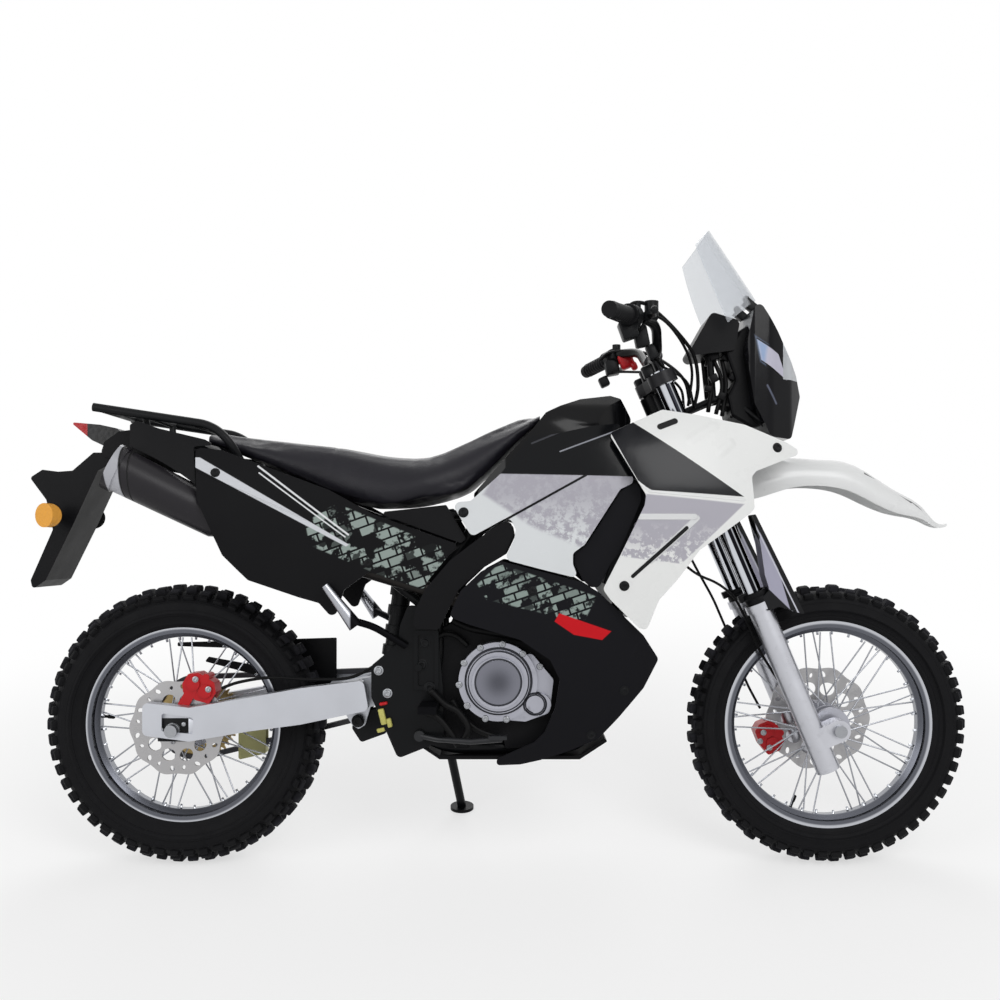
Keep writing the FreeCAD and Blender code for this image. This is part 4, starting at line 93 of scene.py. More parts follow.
class Graph:
    """Node tree, emptied, with short ways to add to it."""

    def __init__(self, tree):
        self.tree = tree
        tree.nodes.clear()

    def node(self, kind, **values):
        """New node, with values for its inputs, whose names have _ for a space."""
        node = self.tree.nodes.new(kind)
        for name, value in values.items():
            node.inputs[name.replace("_", " ")].default_value = value
        return node

    def link(self, source, target):
        self.tree.links.new(source, target)

    def feed(self, value, socket):
        """A number, a colour or another node's output into a socket."""
        if isinstance(value, bpy.types.NodeSocket):
            self.link(value, socket)
        else:
            socket.default_value = value

    def math(self, kind, a, b=0.0, clamp=False):
        node = self.node("ShaderNodeMath")
        node.operation = kind
        node.use_clamp = clamp
        self.feed(a, node.inputs[0])
        self.feed(b, node.inputs[1])
        return node.outputs[0]

    def ramp(self, value, low, high, to_low, to_high, smooth=False):
        node = self.node("ShaderNodeMapRange")
        node.interpolation_type = "SMOOTHSTEP" if smooth else "LINEAR"
        self.feed(value, node.inputs["Value"])
        for socket, number in zip(("From Min", "From Max", "To Min", "To Max"), (low, high, to_low, to_high)):
            node.inputs[socket].default_value = number
        return node.outputs["Result"]

    def viewed(self):
        """1 for a ray from the camera, or one by way of gloss or glass, else 0."""
        path = self.node("ShaderNodeLightPath")
        total = path.outputs["Is Camera Ray"]
        for name in ("Is Glossy Ray", "Is Transmission Ray"):
            total = self.math("MAXIMUM", total, path.outputs[name])
        return total

    def mixed(self, share, first, second, kind):
        """The output shows the first shader, or the second where share is 1."""
        mix = self.node("ShaderNodeMixShader")
        self.feed(share, mix.inputs[0])
        self.link(first.outputs[0], mix.inputs[1])
        self.link(second.outputs[0], mix.inputs[2])
        self.link(mix.outputs[0], self.node(kind).inputs["Surface"])


class Surface(Graph):
    """Node material in the machine's own coordinates, with colour, roughness and height built up in layers."""

    def __init__(self, name, colour, rough, metal=0.0, coat=0.0, sheen=0.0, spread=0.06, rough_spread=0.05,
                 patch=9.0, specular=0.5):
        self.material = bpy.data.materials.new(name)
        self.material.use_nodes = True
        super().__init__(self.material.node_tree)
        self.output = self.node("ShaderNodeOutputMaterial")
        self.shader = self.node("ShaderNodeBsdfPrincipled", Metallic=metal, Coat_Weight=coat, Coat_Roughness=0.12,
                                Sheen_Weight=sheen, Specular_IOR_Level=specular)
        self.link(self.shader.outputs["BSDF"], self.output.inputs["Surface"])
        texture = self.node("ShaderNodeTexCoord")
        mapping = self.node("ShaderNodeMapping", Location=SHIFT, Rotation=(LEAN, 0, 0))
        mapping.vector_type = "TEXTURE"
        self.link(texture.outputs["Object"], mapping.inputs["Vector"])
        self.place = mapping.outputs["Vector"]
        self.split = None
        base = srgb(colour) if isinstance(colour, str) else colour
        patches = self.noise(patch, 4, 0.6)
        self.colour = self.blend(patches, self.shade(base, 1 - spread), self.shade(base, 1 + spread))
        self.rough = self.ramp(patches, 0.3, 0.7, max(rough - rough_spread, 0.02), rough + rough_spread)
        self.height = None
        self.wired = False

    @staticmethod
    def shade(colour, factor):
        return tuple(min(c * factor, 1.0) for c in colour[:3]) + (1.0,)

    def noise(self, scale, detail=2.0, rough=0.5, stretch=None):
        node = self.node("ShaderNodeTexNoise", Scale=scale, Detail=detail, Roughness=rough)
        self.link(self.scaled(stretch), node.inputs["Vector"])
        return node.outputs[0]

    def scaled(self, stretch):
        if stretch is None:
            return self.place
        node = self.node("ShaderNodeVectorMath")
        node.operation = "MULTIPLY"
        self.link(self.place, node.inputs[0])
        node.inputs[1].default_value = stretch
        return node.outputs[0]

    def cells(self, scale, kind="F1", stretch=None):
        node = self.node("ShaderNodeTexVoronoi", Scale=scale)
        node.feature = kind
        self.link(self.scaled(stretch), node.inputs["Vector"])
        return node.outputs["Distance"]

    def blend(self, factor, first, second):
        node = self.node("ShaderNodeMix")
        node.data_type = "RGBA"
        self.feed(factor, node.inputs[0])
        self.feed(first, node.inputs[6])
        self.feed(second, node.inputs[7])
        return node.outputs[2]

    def axis(self, index):
        """One coordinate of the upright machine, in millimetres."""
        if self.split is None:
            node = self.node("ShaderNodeSeparateXYZ")
            self.link(self.scaled((1000, 1000, 1000)), node.inputs[0])
            self.split = node.outputs
        return self.split[index]

    def side(self, a, b):
        """Signed distance of the side view point to the right of the line from a to b."""
        across = Vector((b[1] - a[1], a[0] - b[0])).normalized()
        along = self.math("MULTIPLY", self.axis(0), across.x)
        up = self.math("MULTIPLY", self.axis(2), across.y)
        return self.math("SUBTRACT", self.math("ADD", along, up), across.dot(Vector(a)))

    def outline(self, points, soft=1.2):
        """1 inside a convex outline of the side view, clockwise, else 0."""
        inside = None
        for index, a in enumerate(points):
            edge = self.side(a, points[(index + 1) % len(points)])
            inside = edge if inside is None else self.math("MINIMUM", inside, edge)
        return self.ramp(inside, -soft, soft, 0, 1, True)

    def stroke(self, a, b, width, soft=1.0):
        """1 on a line of the side view from a to b, else 0."""
        a, b = Vector(a), Vector(b)
        run = b - a
        x = self.math("SUBTRACT", self.axis(0), a.x)
        z = self.math("SUBTRACT", self.axis(2), a.y)
        share = self.math("ADD", self.math("MULTIPLY", x, run.x / run.length_squared),
                          self.math("MULTIPLY", z, run.y / run.length_squared), clamp=True)
        off_x = self.math("SUBTRACT", x, self.math("MULTIPLY", share, run.x))
        off_z = self.math("SUBTRACT", z, self.math("MULTIPLY", share, run.y))
        far = self.math("SQRT", self.math("ADD", self.math("MULTIPLY", off_x, off_x),
                                          self.math("MULTIPLY", off_z, off_z)))
        return self.ramp(far, width / 2 - soft / 2, width / 2 + soft / 2, 1, 0, True)

    def from_line(self, value, middle):
        """How far a value is from a middle, either way."""
        return self.math("ABSOLUTE", self.math("SUBTRACT", value, middle))

    def band(self, value, start, full, fade, end):
        """1 between two limits of a value, with a soft edge at each, else 0."""
        return self.math("MULTIPLY", self.ramp(value, start, full, 0, 1, True), self.ramp(value, fade, end, 1, 0, True))

    def line(self, a, b, width, colour, rough, height=0.0, soft=1.0):
        """A painted line of the side view, raised or sunk where it has a height."""
        mask = self.stroke(a, b, width, soft)
        self.paint(mask, colour, rough)
        if height:
            self.raise_by(mask, height)

    def around(self, centre):
        """Distance of the side view point from a centre, in millimetres."""
        x = self.math("SUBTRACT", self.axis(0), centre[0])
        z = self.math("SUBTRACT", self.axis(2), centre[1])
        return self.math("SQRT", self.math("ADD", self.math("MULTIPLY", x, x), self.math("MULTIPLY", z, z)))

    def paint(self, mask, colour, rough=None):
        self.colour = self.blend(mask, self.colour, srgb(colour) if isinstance(colour, str) else colour)
        if rough is not None:
            node = self.node("ShaderNodeMix")
            self.feed(mask, node.inputs[0])
            self.feed(self.rough, node.inputs[2])
            node.inputs[3].default_value = rough
            self.rough = node.outputs[0]
        return self

    def raise_by(self, value, amount):
        """Adds value times amount millimetres to the surface's height."""
        part = self.math("MULTIPLY", value, amount)
        self.height = part if self.height is None else self.math("ADD", self.height, part)
        return self

    def done(self):
        if not self.wired:
            self.link(self.colour, self.shader.inputs["Base Color"])
            self.link(self.rough, self.shader.inputs["Roughness"])
            if self.height is not None:
                bump = self.node("ShaderNodeBump", Distance=MM, Strength=1.0)
                self.link(self.height, bump.inputs["Height"])
                self.link(bump.outputs["Normal"], self.shader.inputs["Normal"])
            self.wired = True
        return self.material


def moulded(name, colour, rough, grain=0.05, coat=0.0, spread=0.05, specular=None):
    """Moulded plastic: fine stipple over slow waves, with faint scuffs."""
    if specular is None:
        specular = 0.4 if srgb(colour)[1] > 0.1 else 0.09
    surface = Surface(name, colour, rough, coat=coat, spread=spread, specular=specular)
    scuffs = surface.ramp(surface.noise(60, 6, 0.7, (1, 1, 4)), 0.62, 0.78, 0, 0.25)
    surface.paint(scuffs, surface.shade(srgb(colour), 1.5), min(rough + 0.2, 0.9))
    surface.raise_by(surface.noise(900, 3), grain)
    surface.raise_by(surface.noise(25, 2), 0.25)
    return surface


def cast(name, colour, rough, grain=0.12, metal=1.0, spread=0.10, specular=0.5):
    """Cast metal: a sandy skin with stains in its hollows."""
    surface = Surface(name, colour, rough, metal=metal, spread=spread, rough_spread=0.08, patch=22, specular=specular)
    stains = surface.ramp(surface.noise(45, 5, 0.65), 0.55, 0.8, 0, 0.35)
    surface.paint(stains, surface.shade(srgb(colour), 0.5), min(rough + 0.15, 0.9))
    surface.raise_by(surface.noise(700, 4, 0.6), grain)
    return surface


def brushed(name, colour, rough, grain=0.05, along=(8, 900, 900), spread=0.05):
    """Drawn or brushed metal: fine lines one way."""
    surface = Surface(name, colour, rough, metal=1.0, spread=spread, patch=14)
    lines = surface.noise(1.0, 3, 0.6, along)
    surface.rough = surface.math("ADD", surface.rough, surface.ramp(lines, 0.3, 0.7, -0.05, 0.06))
    surface.raise_by(lines, grain)
    return surface


def rubbery(name, colour, rough, grain=0.15):
    """Rubber: dull, faintly dusty in patches."""
    surface = Surface(name, colour, rough, spread=0.12, rough_spread=0.06, patch=30, specular=0.12)
    dust = surface.ramp(surface.noise(18, 5, 0.6), 0.5, 0.8, 0, 0.3)
    surface.paint(dust, surface.shade(srgb(colour), 1.9), 0.85)
    surface.raise_by(surface.noise(420, 4, 0.6), grain)
    return surface


def make_materials():
    """One material for each slot of the record."""
    made = {}

    def add(kind, name, *values, **more):
        made[name] = kind(name, *values, **more)

    add(moulded, "frame_paint", "0D0E10", 0.36, 0.03, coat=0.05)
    add(brushed, "aluminium", "B9BBC1", 0.42, 0.04)
    add(cast, "engine_metal", "8C8E96", 0.46)
    add(brushed, "exhaust_steel", "2B2928", 0.42, 0.03)
    add(moulded, "silencer_paint", "3A3537", 0.46, 0.08)
    add(cast, "black_metal", "0F1012", 0.42, 0.08, metal=0.0, specular=0.14)
    add(cast, "red_metal", "B3121A", 0.36, 0.06, metal=0.0, spread=0.14, specular=0.3)
    add(brushed, "steel", "9A9CA0", 0.30, 0.03)
    add(moulded, "guide_plastic", "B9B463", 0.55, 0.06)
    add(moulded, "black_plastic", "0E0E10", 0.42, 0.07)
    add(moulded, "side_plastic", "0E0E10", 0.38, 0.05)
    add(moulded, "fairing_plastic", "0F0F12", 0.42, 0.06)
    add(moulded, "tank_plastic", "0A0A0D", 0.16, 0.01, coat=0.15)
    add(moulded, "white_plastic", "DCDDDD", 0.30, 0.02, coat=0.25, spread=0.02)
    add(rubbery, "seat_cover", "1A191F", 0.50)
    add(moulded, "red_lens", "8E0A10", 0.12, 0.0, coat=0.5)
    add(moulded, "amber_lens", "D8730F", 0.14, 0.0, coat=0.8)
    add(moulded, "lamp_glass", "C9CDD2", 0.08, 0.0, coat=0.8)
    add(Surface, "screen", "DADDE2", 0.05)
    add(brushed, "chrome", "C9CCD2", 0.10, 0.01)
    add(brushed, "fork_metal", "B8B9C2", 0.34, 0.03, along=(900, 900, 12))
    add(moulded, "guard_plastic", "0E0E11", 0.3, 0.03)
    add(moulded, "bar_metal", "0B0B0D", 0.3, 0.03, coat=0.06)
    add(rubbery, "grip_rubber", "101012", 0.6)
    add(rubbery, "hose_rubber", "0A0A0B", 0.5)
    add(rubbery, "tyre", "0F0F11", 0.7)
    tyre = made["tyre"]
    nearest = tyre.math("MINIMUM", tyre.around((AXLES["front"].x, WHEEL)), tyre.around((AXLES["rear"].x, WHEEL)))
    # painted highlight: the tread band made lighter in patches, so the lugs stand out from the dark carcass
    worn = tyre.math("MULTIPLY", tyre.ramp(nearest, 302, 314, 0, 0.8, True),
                     tyre.ramp(tyre.noise(38, 4), 0.42, 0.6, 0.2, 1))
    tyre.paint(worn, "2A2A2F", 0.8)
    for ring in (254, 266, 284):
        tyre.raise_by(tyre.ramp(tyre.from_line(nearest, ring), 0.6, 1.6, 1, 0, True), 0.8)
    add(brushed, "rim_metal", "A9ABB2", 0.28, 0.03, along=(300, 20, 300))
    add(brushed, "spoke_steel", "A3A5AB", 0.26, 0.02)
    add(cast, "hub_metal", "A7A8B0", 0.38, 0.06)
    add(brushed, "disc_steel", "A6A5A6", 0.32, 0.03)
    return made


SURFACES = make_materials()


def glass_like(surface, weight):
    """Clear moulding that lets most light through."""
    surface.shader.inputs["Transmission Weight"].default_value = weight
    surface.shader.inputs["IOR"].default_value = 1.45


glass_like(SURFACES["lamp_glass"], 0.35)
glass_like(SURFACES["red_lens"], 0.25)
glass_like(SURFACES["amber_lens"], 0.25)


def finish_screen(surface):
    """Thin clear sheet, shown mostly by its reflections."""
    clear = surface.node("ShaderNodeBsdfTransparent", Color=(0.93, 0.94, 0.95, 1))
    mix = surface.node("ShaderNodeMixShader")
    weight = surface.node("ShaderNodeLayerWeight", Blend=0.25)
    surface.link(surface.ramp(weight.outputs["Facing"], 0, 1, 0.16, 0.7), mix.inputs[0])
    surface.link(clear.outputs[0], mix.inputs[1])
    surface.link(surface.shader.outputs[0], mix.inputs[2])
    surface.link(mix.outputs[0], surface.output.inputs["Surface"])


finish_screen(SURFACES["screen"])

# Node to slot, as the record has it
slot_of = {}
for entry in frame["record"]["materials"]:
    for key in ("nodes", "node_names"):
        for name in entry.get(key) or []:
            slot_of[name] = entry["slot"]


def coat(node, surface):
    """Gives a CAD node one material."""
    material = surface.done()
    data = nodes[node].data
    if not data.materials:
        data.materials.append(material)
    for index in range(len(data.materials)):
        data.materials[index] = material


def default_coats():
    """Each CAD node in its slot's material."""
    for name, obj in nodes.items():
        slots = [m.name.split(".")[0] for m in obj.data.materials if m]
        slot = slot_of.get(name) or (slots[0] if slots else "black_plastic")
        surface = SURFACES.get(slot)
        if surface is None:
            print("no material for", name, slots)
            surface = SURFACES["black_plastic"]
        coat(name, surface)


default_coats()


def engine_cover():
    """Bright cast covers: a machined disc with grooves and a painted dark reflection towards its middle, a smaller
    round cap and a dark gasket line.
    """
    surface = cast("cover_metal", "A3A4AD", 0.38, 0.08)
    far = surface.around((-15.0, 437.0))
    near = surface.around((66.0, 385.0))
    turned = surface.ramp(far, 50, 52, 1, 0, True)
    surface.paint(turned, "777881", 0.22)
    # painted reflection: the turned disc darker towards its middle
    surface.paint(surface.ramp(far, 4, 44, 0.75, 0, True), "45464D", 0.25)
    turning = surface.node("ShaderNodeTexWave", Scale=90)
    turning.wave_type = "RINGS"
    turning.rings_direction = "Y"
    centred = surface.node("ShaderNodeVectorMath")
    centred.operation = "SUBTRACT"
    surface.link(surface.place, centred.inputs[0])
    centred.inputs[1].default_value = (-0.015, 0, 0.437)
    surface.link(centred.outputs[0], turning.inputs["Vector"])
    surface.raise_by(surface.math("MULTIPLY", turned, turning.outputs[1]), 0.12)
    for radius, width in ((51.0, 2.4), (67.0, 1.6), (73.0, 3.0)):
        ring = surface.band(far, radius - width, radius - width / 2, radius + width / 2, radius + width)
        surface.paint(ring, "3A3B40", 0.5).raise_by(ring, -1.5)
    for radius, width in ((21.0, 1.6), (25.0, 2.4)):
        ring = surface.band(near, radius - width, radius - width / 2, radius + width / 2, radius + width)
        surface.paint(ring, "303136", 0.5).raise_by(ring, -1.2)
    return surface


def fork_tube():
    """Chromed tube with the dark reflections that run along it."""
    surface = brushed("tube_chrome", "C9CCD2", 0.10, 0.01)
    slope = math.tan(RAKE)
    lean_back = surface.math("ADD", surface.axis(0), surface.math("MULTIPLY", surface.axis(2), slope))
    streaks = surface.node("ShaderNodeTexNoise", Scale=0.085, Detail=1.0)
    streaks.noise_dimensions = "1D"
    surface.link(lean_back, streaks.inputs["W"])
    surface.paint(surface.ramp(streaks.outputs[0], 0.44, 0.54, 1, 0, True), "16171B", 0.12)
    return surface


def silencer_skin():
    """Dark satin silencer with a bright end cap and band."""
    surface = moulded("silencer_skin", "1D1B1F", 0.36, 0.06, specular=0.25)
    surface.paint(surface.band(surface.axis(0), -872, -869, -842, -839), "A9AAB0", 0.3)
    for place_x in (-838.0, -822.0):
        line = surface.ramp(surface.from_line(surface.axis(0), place_x), 0.8, 1.8, 1, 0)
        surface.paint(line, "0B0B0C", 0.6).raise_by(line, -1.0)
    return surface


def nose_skin():
    """Gloss black nose with pale lens panels on its flanks, a painted bluish glow in each lens's rear corner, and a
    painted highlight along a crease.
    """
    surface = moulded("nose_skin", "08080C", 0.14, 0.01, coat=0.12)
    lens = surface.outline([(566, 1206), (619, 1173), (644, 1111), (577, 1155)], 1.2)
    surface.paint(lens, "B9B7C6", 0.12)
    # painted glow: a soft bluish light in the rear corner of each lens
    glow = surface.outline([(566, 1206), (590, 1190), (584, 1150), (577, 1155)], 6)
    surface.paint(glow, "8FA3C4", 0.12)
    # painted highlight along a crease of the nose
    surface.line((590, 1100), (612, 1060), 4, "5C6070", 0.2, soft=3)
    for a, b in (((566, 1206), (619, 1173)), ((619, 1173), (644, 1111)), ((644, 1111), (577, 1155))):
        surface.line(a, b, 3, "040405", 0.3)
    return surface


def tail_lens():
    """Tail light: red lens at the back, black housing in front of it."""
    surface = moulded("tail_lens", "A80D14", 0.14, 0.0, coat=0.2, specular=0.15)
    front = surface.ramp(surface.axis(0), -955, -953, 0, 1, True)
    surface.paint(front, "0B0B0D", 0.25)
    cells = surface.cells(90)
    surface.raise_by(cells, -0.6)
    return surface


def indicator_skin():
    """Indicators: amber lens on the outer end, black bowl and stem."""
    surface = moulded("indicator_skin", "0C0C0E", 0.35, 0.02)
    amber = surface.ramp(surface.math("ABSOLUTE", surface.axis(1)), 128, 129, 0, 1)
    surface.paint(amber, "E6A54A", 0.15)
    surface.raise_by(surface.math("MULTIPLY", amber, surface.cells(160)), -0.8)
    return surface


def peg_skin():
    """Pegs: bright passenger pegs behind, dark rubbered rider pegs in front."""
    surface = brushed("peg_skin", "A7A9AF", 0.32, 0.03)
    rider = surface.ramp(surface.axis(0), -338, -334, 0, 1)
    surface.paint(rider, "141416", 0.6)
    return surface


def rim_skin(key):
    """Polished rim: bright flange, darker well."""
    radius = RIMS[key]
    surface = Surface(key + "_rim_skin", "B9BBC1", 0.17, metal=1.0, spread=0.03, rough_spread=0.03)
    far = surface.around((AXLES[key].x, WHEEL))
    surface.paint(surface.band(far, radius - 30, radius - 24, radius - 9, radius - 4), "5E6067", 0.25)
    inner = surface.ramp(far, radius - 34, radius - 31, 1, 0, True)
    surface.paint(inner, "8A8C93", 0.2)
    return surface


def guard_skin():
    """Fork guards: black, with a painted lilac grey reflection on their face and painted pale highlights along two thin
    lines.
    """
    surface = moulded("guard_skin", "0C0C0F", 0.30, 0.03, specular=0.2)
    panel = surface.outline([(563.8, 735.8), (568.2, 766.8), (608.1, 684.9), (634.6, 596.4), (581.5, 647.3)], 1)
    # painted reflection in lilac grey on the guard's face
    surface.paint(panel, "A09FB0", 0.3)
    # painted highlights: thin pale lines along the guard
    for a, b, width in (((549, 800), (655, 585), 3), ((540, 790), (572, 700), 4)):
        surface.line(a, b, width, "BFC0CA", 0.3)
    return surface


def clamp_skin():
    """Dark anodised clamps."""
    return cast("clamp_skin", "17171A", 0.40, 0.05, metal=0.2, specular=0.25)


coat("engine_covers", engine_cover())
coat("fork_tubes", fork_tube())
coat("silencer", silencer_skin())
coat("headlight_fairing", nose_skin())
coat("tail_light", tail_lens())
coat("rear_indicators", indicator_skin())
coat("foot_pegs", peg_skin())
coat("triple_clamps", clamp_skin())
coat("foot_controls", cast("pedal_skin", "1B1C1F", 0.38, 0.05, metal=0.4))
coat("skid_plate", moulded("skid_skin", "0C0C0E", 0.45, 0.08))
coat("fuel_tank", moulded("tank_gloss", "08080A", 0.13, 0.01, coat=0.2))
coat("rear_sprocket", brushed("sprocket_skin", "A08B5E", 0.34, 0.03))
coat("chain", brushed("chain_skin", "3A3A3D", 0.38, 0.03))
for name in ("front", "rear"):
    coat(name + "_rim", rim_skin(name))
coat("fork_guards", guard_skin())
coat("fork_lowers", cast("fork_cast", "BFC0C6", 0.34, 0.05, spread=0.04))
coat("bar_controls", SURFACES["black_metal"])
coat("chain_guide", moulded("guide_skin", "C6C387", 0.5, 0.05))
for name in ("crankcase", "cylinder_head"):
    coat(name, cast("case_skin", "131317", 0.46, 0.1, metal=0.3, specular=0.2))


def smooth_nodes():
    """Smooth shading with sharp edges on the carried-over CAD pieces, by modifiers only."""
    for name, obj in nodes.items():
        obj.data.polygons.foreach_set("use_smooth", [True] * len(obj.data.polygons))
        weld = obj.modifiers.new("weld", "WELD")
        weld.merge_threshold = 0.00002
        sharp = obj.modifiers.new("edges", "EDGE_SPLIT")
        sharp.split_angle = math.radians(28)


smooth_nodes()


# Panels with their own graphics

def white_shroud():
    """White shroud: black wedge, grey worn zone, raised rib, dark slash and slot."""
    surface = moulded("shroud_white", "E2E3E2", 0.28, 0.02, coat=0.08, spread=0.02, specular=0.18)
    grey = surface.outline([(304, 850), (519, 829), (380, 700), (250, 716)], 2)
    speckle = surface.ramp(surface.noise(55, 5, 0.75), 0.5, 0.56, 0, 1)
    fade = surface.ramp(surface.axis(2), 715, 790, 1.0, 0.0)
    worn = surface.math("MULTIPLY", grey, surface.math("SUBTRACT", 1.0, surface.math("MULTIPLY", speckle, fade)))
    surface.paint(worn, "A9A7B0", 0.35)
    for a, b in (((290, 801), (408, 801)), ((413, 798), (315, 708))):
        surface.line(a, b, 13, "D6D7D8", 0.3, 1.2, 3)
    black = surface.outline([(227, 984), (279, 1008), (519, 845), (316, 858), (290, 872)], 0.8)
    surface.paint(black, "0D0E13", 0.2)
    for a, b in (((227, 984), (281, 880)), ((281, 880), (311, 856)), ((311, 856), (519, 838))):
        surface.line(a, b, 5, "E2E3E3", 0.3, 0.8)
    for a, b, width in (((276, 673), (391, 777), 8), ((338, 998), (371, 1011), 13)):
        surface.line(a, b, width, "060608", 0.5, -1.5)
    for a, b in (((403, 969), (457, 1002)), ((468, 941), (492, 962))):
        surface.raise_by(surface.stroke(a, b, 16, 14), 1.5)
    return surface


def tank_cover():
    """Tank side cover: gloss black above a line, pale worn grey below, with seams."""
    surface = moulded("cover_graphics", "D2D5D7", 0.30, 0.02, coat=0.06, spread=0.03, specular=0.14)
    grey = surface.outline([(-20, 905), (290, 893), (180, 700), (60, 780), (-60, 830)], 6)
    speckle = surface.ramp(surface.noise(50, 5, 0.75), 0.47, 0.56, 0, 1)
    low = surface.ramp(surface.axis(2), 760, 850, 1.0, 0.15)
    worn = surface.math("MULTIPLY", grey, surface.math("SUBTRACT", 1.0, surface.math("MULTIPLY", speckle, low)))
    surface.paint(worn, "A5A3AC", 0.35)
    above = surface.ramp(surface.side((-60, 899), (300, 889)), -0.8, 0.8, 1, 0)
    surface.paint(above, "08090C", 0.14)
    for a, b in (((177, 893), (0, 795)), ((-123, 836), (-78, 754))):
        surface.line(a, b, 5, "0A0A0C", 0.5, -1.2)
    surface.line((121, 946), (298, 1012), 3, "8A8C94", 0.3)
    surface.line((59, 965), (235, 1037), 4, "3A3B40", 0.3, 0.8)
    return surface


def blocks(surface, zone, slope, colour, cell=(34.0, 17.0), seed=0.0):
    """Worn strips of pale blocks, generic and unreadable, inside a mask."""
    turn = surface.node("ShaderNodeVectorRotate", Angle=math.radians(slope))
    turn.rotation_type = "Y_AXIS"
    surface.link(surface.scaled((1000, 0, 1000)), turn.inputs["Vector"])
    brick = surface.node("ShaderNodeTexBrick", Scale=1.0, Brick_Width=cell[0], Row_Height=cell[1], Mortar_Size=2.2,
                         Color1=(1, 1, 1, 1), Color2=(0.25, 0.25, 0.25, 1), Mortar=(0, 0, 0, 1))
    swap = surface.node("ShaderNodeSeparateXYZ")
    surface.link(turn.outputs[0], swap.inputs[0])
    merge = surface.node("ShaderNodeCombineXYZ")
    surface.link(swap.outputs[0], merge.inputs[0])
    surface.link(swap.outputs[2], merge.inputs[1])
    surface.link(merge.outputs[0], brick.inputs["Vector"])
    brick.offset = 0.37
    worn = surface.ramp(surface.noise(26 + seed, 4, 0.6), 0.46, 0.54, 0.25, 1)
    value = surface.math("MULTIPLY", brick.outputs["Color"], worn)
    value = surface.ramp(value, 0.2, 0.5, 0, 1)
    surface.paint(surface.math("MULTIPLY", zone, value), colour, 0.4)


def lower_fairing():
    """Black lower fairing with a strip of worn grey-green blocks and one red flash."""
    surface = moulded("fairing_graphics", "0F0F13", 0.38, 0.05)
    zone = surface.outline([(-60, 655), (-12, 700), (200, 628), (170, 570), (-40, 622)], 2)
    blocks(surface, zone, 19, "87948F")
    flash = surface.outline([(118, 592), (232, 552), (212, 533), (150, 545), (108, 574)], 1)
    surface.paint(flash, "C01A22", 0.35)
    for a, b in (((208, 650), (330, 560)), ((214, 640), (322, 552))):
        surface.line(a, b, 4, "5A5C62", 0.3, 0.6)
    ribs = surface.node("ShaderNodeTexWave", Scale=14)
    surface.link(surface.scaled((0.6, 0, 1)), ribs.inputs["Vector"])
    edge = surface.outline([(300, 540), (345, 508), (215, 318), (185, 340)], 4)
    surface.raise_by(surface.math("MULTIPLY", edge, ribs.outputs[1]), 1.5)
    return surface


def rear_panel():
    """Black rear side panel with a strip of worn grey-green blocks, a pale wedge and thin lines."""
    surface = moulded("rear_graphics", "0E0E10", 0.36, 0.05)
    zone = surface.outline([(-440, 790), (-372, 832), (-120, 728), (-165, 640), (-270, 672), (-430, 740)], 2)
    blocks(surface, zone, 20, "8D9994", (38.0, 21.0), 3.0)
    wedge = surface.outline([(-688, 934), (-676, 934), (-343, 741), (-350, 737), (-688, 914)], 1)
    surface.paint(wedge, "C9CBD0", 0.3)
    for a, b, width in (((-548, 915), (-345, 763), 4), ((-545, 900), (-352, 758), 3)):
        surface.line(a, b, width, "D8DADC", 0.3)
    seam = surface.stroke((-686, 905), (-380, 770), 3, 1)
    surface.raise_by(seam, -1.0)
    return surface


def fender_white():
    """White front fender with a dark curved line on its flanks."""
    surface = moulded("fender_white", "DFE0E0", 0.28, 0.02, coat=0.25, spread=0.02)
    flank = surface.ramp(surface.math("ABSOLUTE", surface.axis(1)), 30, 34, 0, 1, True)
    for a, b, width in (((832, 906), (880, 886), 7), ((880, 886), (940, 843), 12), ((940, 843), (1000, 796), 7)):
        surface.paint(surface.math("MULTIPLY", flank, surface.stroke(a, b, width, 1)), "2B2C31", 0.3)
    return surface


def seat_vinyl():
    """Seat cover: pebbled vinyl with slow colour change."""
    surface = Surface("seat_vinyl", "1A191F", 0.40, spread=0.14, rough_spread=0.08, patch=5, specular=0.22)
    pebbles = surface.cells(620, "SMOOTH_F1")
    surface.raise_by(pebbles, -0.35)
    surface.raise_by(surface.noise(240, 3), 0.12)
    worn = surface.ramp(surface.noise(12, 4, 0.6), 0.55, 0.75, 0, 0.3)
    surface.paint(worn, "2A2930", 0.5)
    return surface


for name in ("right", "left"):
    coat("shroud_" + name, white_shroud())
coat("tank_cover_pair", tank_cover())
coat("lower_fairing_pair", lower_fairing())
coat("rear_panel_pair", rear_panel())
coat("front_fender", fender_white())


# Mesh helpers

def piece(name, bm, slot, body, surface=None, replaces=(), smooth=True, bevel=0.0):
    """New object from a bmesh, with its slot's material unless another is given, riding on a body."""
    bmesh.ops.recalc_face_normals(bm, faces=bm.faces)
    mesh = bpy.data.meshes.new(name)
    bm.to_mesh(mesh)
    bm.free()
    obj = added(name, mesh)
    mesh.materials.append((surface or SURFACES[slot]).done())
    mesh.polygons.foreach_set("use_smooth", [smooth] * len(mesh.polygons))
    if bevel:
        edge = obj.modifiers.new("bevel", "BEVEL")
        edge.width = bevel
        edge.segments = 2
        edge.limit_method = "ANGLE"
        edge.angle_limit = math.radians(35)
    if replaces:
        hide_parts(*replaces)
    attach(obj, body)
    return obj


